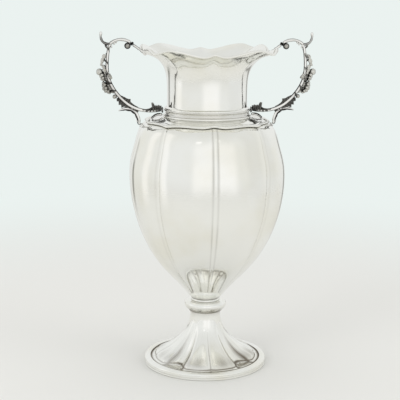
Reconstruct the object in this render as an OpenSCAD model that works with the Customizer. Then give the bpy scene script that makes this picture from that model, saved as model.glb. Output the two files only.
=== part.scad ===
// Two-handled silver vase: a lobed body on a petal foot, with grapevine handles

/* [Sheet and seams] */
// Thickness of the raised silver sheet
sheet_t = 1.2; // [0.9:0.1:1.5]
// Gap left at each soldered seam
seam = 0.2; // [0.1:0.05:0.3]
// Radius of the wires soldered along the wavy edges
wire_r = 1.2; // [0.9:0.1:1.5]

/* [Base ring] */
// Radius of the base ring, where the vase is widest at the table
base_r = 66; // [62:1:70]
// Height of the base ring's upright band
base_h = 7; // [6:0.5:9]
// Thickness of the band where it stands on the table
base_t = 2.6; // [2:0.2:3.4]
// Width of the band's rounded top
base_top_w = 6.6; // [5.6:0.2:7.6]
// Radius of the band's rounded top edge
base_round = 2.2; // [1.4:0.2:2.4]
// Width of the ledge that carries the foot
ledge_w = 3.4; // [2.4:0.2:4.4]
// Thickness of that ledge
ledge_t = 1.4; // [1:0.1:1.8]
// Step from the band's top down to the foot's flat edge
ledge_step = 0.7; // [0.4:0.1:1]

/* [Foot] */
// Height of the foot shell above its flat edge
foot_h = 51.4; // [46:1:56]
// Radius of the stem at the top of the foot
stem_r = 16.2; // [14.5:0.5:17]

/* [Knop] */
// Largest radius of the knop between foot and body
knop_r = 22.6; // [20:0.5:25]
// Height of the knop
knop_h = 11.6; // [10:0.5:14]
// Radius of the hole through the knop and the bead
knop_bore_r = 9; // [7:0.5:11]
// Radius of the bead under the body
bead_r = 15.6; // [14.5:0.5:17]
// Height of that bead
bead_h = 2.8; // [2:0.2:3.6]

/* [Body] */
// Largest radius of the body, over the crown of a lobe
belly_r = 83.5; // [79:0.5:88]
// Radius of the body where it stands on the bead
body_foot_r = 15; // [14:0.5:16]
// Height from the bead to the widest part
belly_h = 131; // [120:1:140]
// Height from the widest part to the flat of the shoulder
upper_h = 64; // [58:1:70]
// Depth of the creases between lobes, as a part of the radius
crease_depth_share = 0.045; // [0.03:0.005:0.06]

/* [Shoulder] */
// Width of the plate's wavy slope
plate_w = 16.5; // [15:0.5:18]
// Width of the flat round the neck ring
plate_flat_w = 2; // [1.5:0.1:2.5]
// How far the plate reaches in past the inside of the neck
mouth_lip_w = 2.8; // [1:0.2:5]
// Fall of the plate from its flat to its edge
plate_drop = 4.4; // [3.4:0.2:5.4]

/* [Neck] */
// How far the stepped ring stands out past the foot of the neck
ring_step_w = 1.4; // [1:0.1:2]
// Height of that ring
ring_h = 8.4; // [7:0.2:10]
// Radius of the neck at its narrowest
neck_r = 42; // [40:0.5:43]
// How far the foot of the neck flares out
neck_foot_w = 2.6; // [2:0.1:3]
// Height of the neck from its foot to the lowest point of the rim
neck_h = 57; // [50:1:62]

/* [Rim] */
// Radius of the rim at its four corners
rim_corner_r = 82; // [76:1:84]
// Radius of the rim at the four small points between the corners
rim_point_r = 61; // [58:1:64]
// Height of the rim's wave
rim_wave = 6.4; // [5:0.2:8]

/* [Handle scroll] */
// Distance from the vase's axis to the handle's furthest reach
handle_r = 104; // [100:1:110]
// Height of the handle's corner above the rim's small point
handle_rise = 10; // [8:0.5:13]
// Radius of the scroll at its thickest
scroll_r = 2.2; // [1.8:0.1:2.4]
// Radius of the round pad where the scroll meets the neck ring
pad_r = 3.2; // [2.8:0.1:3.6]
// Thickness of the pads
pad_t = 1.6; // [1.2:0.1:2]

/* [Handle crest] */
// Radius of the rod over the top of the handle
crest_r = 1.5; // [1.2:0.1:1.8]
// Height of the crest above the handle's corner
crest_h = 2.6; // [2:0.2:3.4]
// Radius of the volute ball under the crest
volute_r = 3.3; // [2.8:0.1:3.8]
// Length of the spur's outward run
spur_w = 8; // [6.5:0.5:10]
// Height of the spur's upturned tip
spur_h = 10.5; // [8:0.5:13]
// Radius of the collar between crest and rim bracket
collar_r = 2.2; // [2:0.1:2.6]
// Length of that collar
collar_l = 2.4; // [2:0.2:3.4]

/* [Handle branch] */
// Radius of the branch that runs down to the body
branch_r = 1.7; // [1.4:0.1:1.9]
// Distance of the branch's free tip from the scroll
branch_tip_w = 10.4; // [9.4:0.2:11.4]
// Thickness of the leaf between scroll and branch
elbow_t = 5; // [4:0.2:6]

/* [Grapevine] */
// Radius of the vine that twines round the scroll
vine_r = 1; // [0.8:0.1:1.2]
// Radius of the largest grape
grape_r = 3.5; // [3:0.1:3.8]
// Length of a vine leaf
leaf_l = 11; // [9:0.5:12]
// Thickness of a vine leaf
leaf_t = 1.8; // [1.4:0.1:2.2]

/* [Hidden] */
HANDLE_PIECES = ["scroll", "neck_pad", "crest", "spur", "volute", "collar",
                 "rim_bracket", "branch", "body_pad", "elbow_leaf", "inner_leaf",
                 "neck_leaf", "shoulder_scroll", "vine", "upper_leaf", "upper_grapes",
                 "lower_grapes", "end_grape"];

silver = "gainsboro";
bright = "whitesmoke";
dark = "darkgray";

// Lobes of the foot and body, and facets across each
lobes = 8;
lobe_facets = 8;
// Facets round the wavy shoulder and rim
wave_facets = 72;
// Sides of a wire and of a handle rod
wire_sides = 5;
rod_sides = 8;
thin_rod_sides = 6;
vine_sides = 5;

// Radii that follow from the neck's
neck_foot_r = neck_r + neck_foot_w;
ring_r = neck_foot_r + ring_step_w;
plate_flat_r = ring_r + plate_flat_w;
plate_r = plate_flat_r + plate_w;
mouth_r = neck_r - sheet_t - mouth_lip_w;

// Heights of the stacked pieces
ledge_z = base_h - ledge_step - sheet_t;
foot_edge_z = ledge_z + sheet_t;
foot_edge_r = base_r - base_top_w - seam;
knop_z = foot_edge_z + foot_h;
bead_z = knop_z + knop_h;
body_z = bead_z + bead_h;
belly_z = body_z + belly_h;
plate_z = belly_z + upper_h;
ring_z = plate_z + sheet_t;
neck_z = ring_z + ring_h;
rim_z = neck_z + neck_h;

// Vectors and smooth curves
function unit(v) = v / norm(v);
function mix(a, b, share) = a + (b - a) * share;
function knot(points, i) = points[max(0, min(len(points) - 1, i))];
function reversed(list) = [for (j = [len(list) - 1 : -1 : 0]) list[j]];

// A point on a smooth curve through all the points; at counts along them from 0
function curve_at(points, at) =
    let (i = max(0, min(floor(at), len(points) - 2)), t = at - i,
         a = knot(points, i - 1), b = knot(points, i),
         c = knot(points, i + 1), d = knot(points, i + 2))
    b + (c - a) * t / 2 + (2 * a - 5 * b + 4 * c - d) * t * t / 2
      + (3 * b - a - 3 * c + d) * t * t * t / 2;
function curve(points, steps) =
    [for (k = [0 : steps]) curve_at(points, (len(points) - 1) * k / steps)];

// A solid skinned over rings of points; round = true joins the last ring to the first
module skin(rings, round = false) {
    n = len(rings[0]);
    m = len(rings);
    points = [for (ring = rings, p = ring) p];
    sides = [for (j = [0 : (round ? m : m - 1) - 1], i = [0 : n - 1])
        let (k = (i + 1) % n, above = ((j + 1) % m) * n, here = j * n)
        each [[here + i, above + i, above + k], [here + i, above + k, here + k]]];
    ends = round ? [] : [[for (i = [0 : n - 1]) i],
                         [for (i = [n - 1 : -1 : 0]) (m - 1) * n + i]];
    polyhedron(points = points, faces = concat(sides, ends), convexity = 10);
}

// The same rings moved inwards by a thickness, square to the surface
function inner_rings(rings, thickness) =
    let (n = len(rings[0]), m = len(rings))
    [for (j = [0 : m - 1]) [for (i = [0 : n - 1])
        let (along = rings[j][(i + 1) % n] - rings[j][(i + n - 1) % n],
             up = rings[min(j + 1, m - 1)][i] - rings[max(j - 1, 0)][i])
        rings[j][i] - thickness * unit(cross(along, up))]];

// An open shell of sheet: the outer rings, then the inner ones back down
module open_shell(rings) {
    skin(concat(rings, reversed(inner_rings(rings, sheet_t))), round = true);
}

// A shell that is closed below: outer and inner rings, each with a flat floor
module cup_shell(rings) {
    inner = inner_rings(rings, sheet_t);
    floor_z = rings[0][0].z + sheet_t;
    raised = [for (p = inner[0]) [p.x, p.y, floor_z]];
    skin(concat(rings, reversed([for (j = [1 : len(inner) - 1]) inner[j]]), [raised]));
}

// Rings of points round a path of [x, y, z, radius]
function rod_rings(path, sides) =
    let (last = len(path) - 1, place = [for (p = path) [p.x, p.y, p.z]])
    [for (j = [0 : last])
        let (ahead = unit(place[min(j + 1, last)] - place[max(j - 1, 0)]),
             side = unit(cross([0, 1, 0], ahead)), other = cross(ahead, side))
        [for (i = [0 : sides - 1]) let (a = 360 * i / sides)
            place[j] + path[j][3] * (cos(a) * side + sin(a) * other)]];

module rod(path, sides = rod_sides) {
    skin(rod_rings(path, sides));
}

// A closed wire through a ring of points
module ring_wire(points) {
    n = len(points);
    skin([for (j = [0 : n - 1])
        let (ahead = unit(points[(j + 1) % n] - points[(j + n - 1) % n]),
             side = unit(cross([0, 0, 1], ahead)), other = cross(ahead, side))
        [for (i = [0 : wire_sides - 1]) let (a = 360 * i / wire_sides)
            points[j] + wire_r * (cos(a) * side + sin(a) * other)]], round = true);
}

// How far a direction lies from the crown of its lobe: 0 at the crown, 1 at a crease
function off_crown(angle) =
    let (turn = angle * lobes / 360) 2 * abs(turn - floor(turn) - 1 / 2);
// 1 on one of the four axes, 0 on a diagonal
function near_axis(angle) = (1 + cos(4 * angle)) / 2;
// A wave through equal steps from an axis to the next diagonal, mirrored all round
function wave(shares, angle) =
    let (turn = angle / 90) curve_at(shares, 2 * abs(turn - round(turn)) * (len(shares) - 1));
function polar(r, angle, z) = [r * cos(angle), r * sin(angle), z];

// Base ring: an upright band with a rounded top and a ledge inside it
module base_ring() {
    top_r = base_r - base_top_w;
    round_steps = 6;
    round_points = [for (k = [0 : round_steps]) let (a = 90 * k / round_steps)
        [base_r - base_round * (1 - cos(a)), base_h - base_round * (1 - sin(a))]];
    color(silver)
    rotate_extrude($fn = 96)
    polygon(concat([[base_r - base_t, 0], [base_r, 0]], round_points,
        [[top_r, base_h], [top_r, ledge_z], [top_r - ledge_w, ledge_z],
         [top_r - ledge_w, ledge_z - ledge_t], [base_r - base_t, ledge_z - ledge_t]]));
}

// Foot: [radius share, height share] up the crown of a petal and down in a crease
petal_crown_shares = [[1, 0], [0.90, 0], [0.865, 0.062], [0.76, 0.13], [0.585, 0.205],
    [0.395, 0.325], [0.235, 0.455], [0.105, 0.60], [0.025, 0.76], [0, 0.885], [0, 1]];
petal_crease_shares = [[1, 0], [0.77, 0], [0.69, 0.01], [0.585, 0.038], [0.455, 0.105],
    [0.305, 0.235], [0.18, 0.39], [0.08, 0.565], [0.015, 0.75], [0, 0.885], [0, 1]];
// Power by which a petal falls to its crease: on a diagonal, and on an axis
petal_fall_shares = [1.7, 3.4];

function foot_point(j, angle) =
    let (fall = mix(petal_fall_shares[0], petal_fall_shares[1], near_axis(angle)),
         share = mix(petal_crown_shares[j], petal_crease_shares[j],
                     pow(off_crown(angle), fall)))
    polar(mix(stem_r, foot_edge_r, share[0]), angle, foot_edge_z + foot_h * share[1]);

module foot_shell() {
    count = lobes * lobe_facets;
    color(silver)
    open_shell([for (j = [0 : len(petal_crown_shares) - 1])
        [for (i = [0 : count - 1]) foot_point(j, 360 * i / count)]]);
}

// Knop: [radius share, height share] up its outside
knop_shares = [[0.77, 0], [0.82, 0.12], [0.93, 0.34], [0.99, 0.55], [1, 0.68],
    [0.985, 0.82], [0.93, 0.93], [0.86, 1]];

module stem_knop() {
    color(silver)
    translate([0, 0, knop_z])
    rotate_extrude($fn = 72)
    polygon(concat([[knop_bore_r, 0]], [for (s = knop_shares) [knop_r * s[0], knop_h * s[1]]],
        [[knop_bore_r, knop_h]]));
}

module body_bead() {
    steps = 8;
    half = bead_h / 2;
    color(bright)
    translate([0, 0, bead_z])
    rotate_extrude($fn = 72)
    polygon(concat([[knop_bore_r, 0]],
        [for (k = [0 : steps]) let (a = 180 * k / steps - 90)
            [bead_r - half * (1 - cos(a)), half * (1 + sin(a))]],
        [[knop_bore_r, bead_h]]));
}

// Shoulder plate: how far its edge reaches, from an axis to a diagonal
plate_wave_shares = [0, 0.72, 0.6, 0.42, 0.5, 1];
// How far the small points lie inside the corners, as a part of the plate's radius
plate_point_share = 0.08;
plate_point_r = plate_r * (1 - plate_point_share);
plate_slope = plate_drop / (plate_r - plate_flat_r);

function plate_edge_r(angle) = mix(plate_point_r, plate_r, wave(plate_wave_shares, angle));
function plate_top_z(r) = ring_z - plate_slope * max(0, r - plate_flat_r);
function plate_under_z(r) = plate_top_z(r) - sheet_t * norm([1, plate_slope]);

module shoulder_plate() {
    angles = [for (i = [0 : wave_facets - 1]) 360 * i / wave_facets];
    color(silver)
    open_shell([
        [for (a = angles) let (r = plate_edge_r(a)) polar(r, a, plate_top_z(r))],
        [for (a = angles) polar(plate_flat_r, a, ring_z)],
        [for (a = angles) polar(mouth_r, a, ring_z)]]);
}

module shoulder_wire() {
    color(bright)
    ring_wire([for (i = [0 : wave_facets - 1])
        let (a = 360 * i / wave_facets, r = plate_edge_r(a))
        polar(r + wire_r + seam, a, plate_top_z(r))]);
}

// Body: [radius share, height share, crease share] from foot to belly and belly to edge
lower_shares = [[0, 0, 0], [0.225, 0.135, 0.5], [0.525, 0.304, 0.85], [0.735, 0.471, 1],
    [0.875, 0.638, 1], [0.96, 0.802, 1], [1, 1, 1]];
upper_shares = [[0.955, 0.29, 0.95], [0.735, 0.62, 0.85], [0.53, 0.86, 0.7],
    [0.34, 0.955, 0.5], [0, 1, 0]];
// Width of the flat lip that the plate is soldered to
body_lip_w = 7;
body_steps = 12;
body_edge_z = plate_under_z(plate_point_r) - seam;
body_profile = concat(
    [for (s = lower_shares) [mix(body_foot_r, belly_r, s[0]), mix(body_z, belly_z, s[1]), s[2]]],
    [for (s = upper_shares)
        [mix(plate_point_r, belly_r, s[0]), mix(belly_z, body_edge_z, s[1]), s[2]]]);
body_lip = let (r = plate_point_r - body_lip_w) [r, plate_under_z(r) - seam, 0];

function body_ring(row) =
    let (count = lobes * lobe_facets)
    [for (i = [0 : count - 1])
        let (angle = 360 * i / count, depth = crease_depth_share * row[2])
        polar(row[0] * (1 - depth * pow(off_crown(angle), 2)), angle, row[1])];

module body_shell() {
    color(silver)
    cup_shell([for (row = concat(curve(body_profile, body_steps), [body_lip]))
        body_ring(row)]);
}

// Neck ring: [height share, radius share] up its stepped outside
ring_shares = [[0, 1], [0.3, 1], [0.42, 0.965], [0.82, 0.965], [0.9, 0.985], [1, 0.985]];

module neck_ring() {
    color(bright)
    translate([0, 0, ring_z])
    rotate_extrude($fn = 96)
    polygon(concat([[neck_r - sheet_t, 0]],
        [for (s = ring_shares) [ring_r * s[1], ring_h * s[0]]],
        [[neck_r - sheet_t, ring_h]]));
}

// Rim: reach and height from an axis to a diagonal
rim_reach_shares = [0, 0.17, 0.4, 0.62, 0.8, 1];
rim_height_shares = [0.36, 0, 0.3, 0.78, 1, 0.4];
// Neck: [radius share, height share, share of the rim's shape] from its narrowest up
neck_shares = [[0.005, 0.42, 0], [0.075, 0.66, 0.1], [0.28, 0.83, 0.33],
    [0.6, 0.94, 0.66], [1, 1, 1]];
// Flat at the foot of the neck, where it stands on the ring
neck_flat_w = 0.8;

function rim_r(angle) = mix(rim_point_r, rim_corner_r, wave(rim_reach_shares, angle));
function rim_height(angle) = rim_z + rim_wave * wave(rim_height_shares, angle);
function neck_point(s, angle) =
    polar(mix(neck_r, rim_point_r, s[0]) + s[2] * (rim_r(angle) - rim_point_r), angle,
          mix(neck_z, rim_z, s[1]) + s[2] * (rim_height(angle) - rim_z));

module neck_shell() {
    angles = [for (i = [0 : wave_facets - 1]) 360 * i / wave_facets];
    flare = neck_foot_r - neck_flat_w - neck_r;
    foot_z = neck_z + sheet_t;
    color(silver)
    open_shell(concat(
        [[for (a = angles) polar(neck_foot_r, a, foot_z)]],
        [for (turn = [0 : 45 : 90]) [for (a = angles)
            polar(neck_r + flare * (1 - sin(turn)), a, foot_z + flare * (1 - cos(turn)))]],
        [for (s = neck_shares) [for (a = angles) neck_point(s, a)]]));
}

module rim_wire() {
    color(bright)
    ring_wire([for (i = [0 : wave_facets - 1]) let (a = 360 * i / wave_facets)
        polar(rim_r(a) + wire_r + seam, a, rim_height(a))]);
}

// Handles: everything below is drawn on the right, in the XZ plane
scroll_end = [ring_r + pad_t + 2 * seam, 0, ring_z + 0.86 * ring_h];
corner_inset_share = 0.07;
corner = [handle_r - corner_inset_share * (handle_r - scroll_end.x), 0,
          rim_height(0) + handle_rise];
// Scroll: [reach share, height share, thickness share] from the corner to the neck
scroll_shares = [[0.93, 1.015, 0.75], [0.975, 0.878, 0.8], [1, 0.662, 0.9],
    [0.981, 0.489, 0.95], [0.915, 0.35, 1], [0.814, 0.233, 1], [0.699, 0.138, 1],
    [0.566, 0.06, 1], [0.416, 0.009, 0.95], [0.257, -0.014, 0.85], [0.124, -0.014, 0.8],
    [0.035, 0, 0.85], [0, 0, 0.9]];
scroll_points = [for (s = scroll_shares)
    [mix(scroll_end.x, handle_r, s[0]), 0, mix(scroll_end.z, corner.z, s[1]),
     scroll_r * s[2]]];

// Step along a list of points over which a direction is measured
nudge = 0.05;

// A point beside the scroll; positive distances lie outside the finger gap
function scroll_out(at) =
    let (ahead = unit(curve_at(scroll_points, at + nudge) - curve_at(scroll_points, at - nudge)))
    unit([-ahead.z, 0, ahead.x]);
function beside(at, distance) =
    let (p = curve_at(scroll_points, at)) [p.x, 0, p.z] + distance * scroll_out(at);
function flat(p) = [p.x, p.z];

module scroll() {
    steps = 28;
    color(silver)
    rod(curve(scroll_points, steps));
}

module neck_pad() {
    color(bright)
    translate([ring_r + seam, 0, scroll_end.z])
    rotate([0, 90, 0])
    cylinder(r = pad_r, h = pad_t, $fn = 24);
}

// Collar between the crest and the rim bracket
rim_seat = [rim_r(0) + 2 * wire_r + 3 * seam, 0, rim_height(0) - seam];
collar_shares = [0.4, 0.93];
collar_place = [mix(rim_seat.x, corner.x, collar_shares[0]), 0,
                mix(rim_seat.z, corner.z, collar_shares[1])];
// Fall of the rod through the collar
collar_angle = 48;
collar_dir = [-cos(collar_angle), 0, -sin(collar_angle)];

module collar() {
    color(bright)
    translate(collar_place - collar_dir * collar_l / 2)
    rotate([0, -90 - collar_angle, 0])
    cylinder(r = collar_r, h = collar_l, $fn = 24);
}

// Crest: [share of the way to the collar, height share, thickness share]
crest_shares = [[0.02, 0.1, 0.9], [0.17, 0.6, 0.85], [0.34, 0.93, 0.9], [0.5, 1, 1],
    [0.67, 0.88, 1], [0.84, 0.5, 1], [1, 0, 0.9]];
crest_start = corner - [scroll_r + seam, 0, 0];
crest_end = collar_place - collar_dir * (collar_l / 2 + seam);
crest_points = [for (s = crest_shares)
    let (p = mix(crest_start, crest_end, s[0])) [p.x, 0, p.z + crest_h * s[1], crest_r * s[2]]];

module crest() {
    steps = 12;
    color(silver)
    rod(curve(crest_points, steps), thin_rod_sides);
}

// Spur: [reach share, height share, thickness share] out to its upturned tip
spur_shares = [[0, 0, 1], [0.25, -0.05, 0.95], [0.62, 0.01, 0.85], [0.87, 0.22, 0.8],
    [0.98, 0.55, 0.7], [1, 1, 0.3]];

module spur() {
    steps = 10;
    start = corner + [scroll_r + seam, 0, 0];
    color(silver)
    rod(curve([for (s = spur_shares)
        [start.x + spur_w * s[0], 0, start.z + spur_h * s[1], crest_r * s[2]]], steps),
        thin_rod_sides);
}

// Volute ball, hung under the crest and clear of the collar
volute_x = crest_end.x + volute_r + 2 * seam;
volute_share = (len(crest_shares) - 1) * (volute_x - crest_start.x) / (crest_end.x - crest_start.x);

module volute() {
    p = curve_at(crest_points, volute_share);
    color(silver)
    translate([p.x, 0, p.z - p[3] - seam - volute_r])
    sphere(r = volute_r, $fn = 32);
}

// Rim bracket: [share of the way to the rim, sag share, thickness share]
bracket_shares = [[0, 0, 1], [0.3, 0.35, 0.8], [0.55, 0.75, 0.75], [0.78, 1, 0.9], [1, 0, 1]];
// How far the bracket sags below a straight line
bracket_sag = 1.6;

module rim_bracket() {
    steps = 8;
    start = collar_place + collar_dir * (collar_l / 2 + seam);
    color(silver)
    rod([for (s = curve(bracket_shares, steps))
        let (p = mix(start, rim_seat, s[0]))
        [p.x, 0, p.z - bracket_sag * s[1], crest_r * s[2]]], thin_rod_sides);
}

// Pad on the body's crease, square to the silver
pad_share = 9.5;
pad_row = curve_at(body_profile, pad_share);
pad_crease_r = pad_row[0] * (1 - crease_depth_share * pad_row[2]);
pad_rise = curve_at(body_profile, pad_share + nudge) - curve_at(body_profile, pad_share - nudge);
pad_out = unit([pad_rise[1], 0, -pad_rise[0]]);
pad_place = [pad_crease_r, 0, pad_row[1]] + 3 * seam * pad_out;
body_pad_share = 0.8;

module body_pad() {
    color(bright)
    translate(pad_place)
    rotate([0, atan2(pad_out.x, pad_out.z), 0])
    cylinder(r = pad_r * body_pad_share, h = pad_t, $fn = 24);
}

// Branch: [place along the scroll, distance share] past the scroll, then down to the pad
branch_beside_shares = [[6.2, 1, 0.3], [6.7, 0.62, 0.7], [7.4, 0.46, 1], [7.9, 0.47, 1]];
branch_down_shares = [[0.42, 0.78, 1], [0, 0.46, 1], [-0.08, 0.2, 1]];
// Straight run of the branch over its pad, as a part of its radius
branch_foot_share = 1.2;
branch_end = pad_place + (pad_t + seam) * pad_out;
branch_foot = branch_end + branch_foot_share * branch_r * pad_out;
branch_points = concat(
    [for (s = branch_beside_shares)
        let (p = beside(s[0], branch_tip_w * s[1])) [p.x, 0, p.z, branch_r * s[2]]],
    [for (s = branch_down_shares)
        let (top = beside(branch_beside_shares[3][0], branch_tip_w * branch_beside_shares[3][1]))
        [mix(branch_foot.x, top.x, s[0]), 0, mix(branch_foot.z, top.z, s[1]), branch_r * s[2]]],
    [[branch_foot.x, 0, branch_foot.z, branch_r]]);

module branch() {
    steps = 16;
    color(silver)
    rod(concat(curve(branch_points, steps), [[branch_end.x, 0, branch_end.z, branch_r]]));
}

// A flat cast leaf from an outline in the XZ plane
module leaf(outline, thickness) {
    rotate([90, 0, 0])
    linear_extrude(height = thickness, center = true)
    polygon([for (p = outline) flat(p)]);
}

// Elbow leaf: it fills the fork, with points that stand out past the branch
elbow_point_shares = [[5.5, 0.48], [5.75, 0.36], [5.9, 0.62], [6.1, 0.44], [6.3, 0.66],
    [6.45, 0.42]];

module elbow_leaf() {
    from = 5.3;
    to = 8;
    edge = scroll_r + seam;
    far = branch_tip_w * branch_beside_shares[2][1] - branch_r - seam;
    color(dark)
    leaf(concat([for (at = [to : -0.3 : from]) beside(at, edge)],
                [for (s = elbow_point_shares) beside(s[0], branch_tip_w * s[1])],
                [for (at = [7 : 0.33 : to]) beside(at, max(edge + seam, far))]), elbow_t);
}

// Inner leaf, on the finger side of the scroll
inner_leaf_shares = [[6.2, 1.5], [6.55, 2.2], [6.6, 1.7], [7, 2.7], [7.15, 1.9], [7.6, 1.35]];

module inner_leaf() {
    from = 5.7;
    to = 8;
    edge = -scroll_r - seam;
    color(dark)
    leaf(concat([for (at = [from : 0.3 : to]) beside(at, edge)],
                [for (s = reversed(inner_leaf_shares)) beside(s[0], -scroll_r * s[1])]), leaf_t);
}

// Neck leaf, with a curl that stands up at its end
neck_leaf_shares = [[9.75, 1.7], [9.7, 2.6], [9.5, 3.6], [9.8, 3.75], [10.05, 2.7],
    [10.2, 1.9], [10.45, 2.5], [10.55, 1.8], [10.85, 2.4], [10.95, 1.5]];

module neck_leaf() {
    from = 9.4;
    to = 11;
    edge = -scroll_r - seam;
    color(dark)
    leaf(concat([for (at = [from : 0.4 : to]) beside(at, edge)],
                [for (s = reversed(neck_leaf_shares)) beside(s[0], -scroll_r * s[1])]), elbow_t);
}

// Shoulder scroll, from the neck ring down on to the plate
shoulder_scroll_shares = [[0, 1, 1], [0.25, 0.86, 0.95], [0.6, 0.36, 0.9], [0.85, 0.03, 0.8],
    [1, 0, 0.8]];
// Its radius, as a part of the branch's
shoulder_scroll_r_share = 0.65;
// Where it ends, as a part of the way to the plate's edge
shoulder_scroll_share = 0.85;

module shoulder_scroll() {
    steps = 8;
    r = branch_r * shoulder_scroll_r_share;
    start = [ring_r + 2 * seam + r / 2, 0, scroll_end.z - pad_r - r - seam];
    end_x = mix(plate_flat_r, plate_point_r, shoulder_scroll_share);
    color(silver)
    rod([for (s = curve(shoulder_scroll_shares, steps))
        let (x = mix(start.x, end_x, s[0]), seat_z = plate_top_z(x) + r * s[2] + 2 * seam)
        [x, 0, mix(seat_z, start.z, s[1]), r * s[2]]], thin_rod_sides);
}

// Grapevine: places along the scroll where it starts, ends and first crosses its outside,
// and how far along the scroll each turn takes it
vine_cross_share = 1.6;
vine_turn_share = 0.9;
vine_from_share = 0.6;
vine_to_share = 5.2;
vine_w = scroll_r + seam + vine_r;
vine_seat = vine_w + vine_r + seam;

module vine() {
    steps = 52;
    color(dark)
    rod([for (k = [0 : steps])
        let (at = mix(vine_from_share, vine_to_share, k / steps),
             a = 360 * (at - vine_cross_share) / vine_turn_share,
             p = beside(at, vine_w * cos(a)) + [0, vine_w * sin(a), 0])
        [p.x, p.y, p.z, vine_r]], vine_sides);
}

// Upper leaf: [place along the scroll, width share], seated on the vine
leaf_seat_shares = [1.4, 1.8, 2.2];
leaf_shares = [[1.35, 0.1], [1.45, 0.3], [1.55, 0.2], [1.7, 0.4], [1.83, 0.26], [2, 0.3],
    [2.2, 0.08]];

module upper_leaf() {
    color(dark)
    leaf(concat([for (at = leaf_seat_shares) beside(at, vine_seat)],
                [for (s = reversed(leaf_shares)) beside(s[0], vine_seat + leaf_l * s[1])]),
         leaf_t);
}

// Grapes: [place along the scroll, distance share, sideways share, size share]
upper_grape_shares = [[2.5, 1, 0, 1], [2.82, 0.72, 0.4, 0.55], [2.85, 0.62, -0.4, 0.55],
    [3.05, 0.56, 0.05, 0.55]];
lower_grape_shares = [[3.9, 0.55, 0, 0.55], [3.68, 0.7, 0.45, 0.55], [3.68, 0.7, -0.45, 0.55],
    [4.06, 0.75, 0.5, 0.55], [4.06, 0.75, -0.5, 0.55], [3.86, 1.05, 0, 0.6],
    [3.42, 0.57, 0, 0.55], [4.28, 0.52, 0, 0.5]];

module grapes(shares) {
    color(dark)
    union() {
        for (s = shares) {
            translate(beside(s[0], vine_seat + grape_r * s[1]) + [0, grape_r * s[2], 0])
            sphere(r = grape_r * s[3], $fn = 24);
        }
    }
}

module upper_grapes() { grapes(upper_grape_shares); }
module lower_grapes() { grapes(lower_grape_shares); }

// The last small grape sits on the scroll itself, past the end of the vine
end_grape_share = 0.7;
end_grape_place_share = 5.35;

module end_grape() {
    color(silver)
    translate(beside(end_grape_place_share, scroll_r + seam + grape_r * end_grape_share))
    sphere(r = grape_r * end_grape_share, $fn = 24);
}

// The left handle is the same casting, turned half round
module left() { rotate([0, 0, 180]) children(); }

base_ring();
foot_shell();
stem_knop();
body_bead();
body_shell();
shoulder_plate();
shoulder_wire();
neck_ring();
neck_shell();
rim_wire();

left() scroll();  // left_scroll
left() neck_pad();  // left_neck_pad
left() crest();  // left_crest
left() spur();  // left_spur
left() volute();  // left_volute
left() collar();  // left_collar
left() rim_bracket();  // left_rim_bracket
left() branch();  // left_branch
left() body_pad();  // left_body_pad
left() elbow_leaf();  // left_elbow_leaf
left() inner_leaf();  // left_inner_leaf
left() neck_leaf();  // left_neck_leaf
left() shoulder_scroll();  // left_shoulder_scroll
left() vine();  // left_vine
left() upper_leaf();  // left_upper_leaf
left() upper_grapes();  // left_upper_grapes
left() lower_grapes();  // left_lower_grapes
left() end_grape();  // left_end_grape

scroll();  // right_scroll
neck_pad();  // right_neck_pad
crest();  // right_crest
spur();  // right_spur
volute();  // right_volute
collar();  // right_collar
rim_bracket();  // right_rim_bracket
branch();  // right_branch
body_pad();  // right_body_pad
elbow_leaf();  // right_elbow_leaf
inner_leaf();  // right_inner_leaf
neck_leaf();  // right_neck_leaf
shoulder_scroll();  // right_shoulder_scroll
vine();  // right_vine
upper_leaf();  // right_upper_leaf
upper_grapes();  // right_upper_grapes
lower_grapes();  // right_lower_grapes
end_grape();  // right_end_grape
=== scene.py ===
"""The looks of a two-handled silver vase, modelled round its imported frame."""

import logging
import math
from dataclasses import asdict, dataclass, field
from enum import Enum, auto
from typing import Callable, Sequence

import bpy
import numpy as np
from mathutils import Matrix, Vector


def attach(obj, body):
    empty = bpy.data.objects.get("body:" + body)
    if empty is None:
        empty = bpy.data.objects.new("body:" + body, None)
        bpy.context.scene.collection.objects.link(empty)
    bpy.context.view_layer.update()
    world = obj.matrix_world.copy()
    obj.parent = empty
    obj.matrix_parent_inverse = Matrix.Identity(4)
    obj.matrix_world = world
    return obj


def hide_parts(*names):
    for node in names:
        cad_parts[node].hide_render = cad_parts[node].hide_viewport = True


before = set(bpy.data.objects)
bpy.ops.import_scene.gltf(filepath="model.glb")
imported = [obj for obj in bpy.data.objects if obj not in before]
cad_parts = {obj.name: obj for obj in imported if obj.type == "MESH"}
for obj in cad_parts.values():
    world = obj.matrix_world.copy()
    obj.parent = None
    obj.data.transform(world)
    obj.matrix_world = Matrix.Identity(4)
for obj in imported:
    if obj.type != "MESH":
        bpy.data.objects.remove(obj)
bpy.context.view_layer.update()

LOG = logging.getLogger("vase")
BODY = "root"
MM = 0.001
FULL_TURN = 2 * math.pi
LOBES = 8
SHEET = 1.2
SEAM = 0.2
WIRE = 1.2
# Stations on a rounded end, as parts of its radius
CAP = (0.02, 0.12, 0.3, 0.55, 0.8, 1.0)
# Columns across half a lobe, from its crown to the crease: close together by the crease
HALF_LOBE = (0.0, 0.12, 0.24, 0.36, 0.48, 0.6, 0.7, 0.78, 0.85, 0.895, 0.91, 0.93, 0.965)
# Width of the channel between two lobes, as a part of half a lobe
CHANNEL = 0.09
# Columns round a wavy sheet and round a wire
SHEET_COLUMNS = 288
WIRE_COLUMNS = 256
# How much a wire's radius gains by its solder
SOLDER = 0.15
# Points that lie closer together than this are one
DOUBLED = 0.002
# Scales of the silver's patches, its mottled recess oxide and painted shade, its wear, its lines
PATCH_SCALE = 14.0
RECESS_MOTTLE_SCALE = 260.0
WEAR_SCALE = 60.0
LINE_SCALE = 900.0
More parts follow.
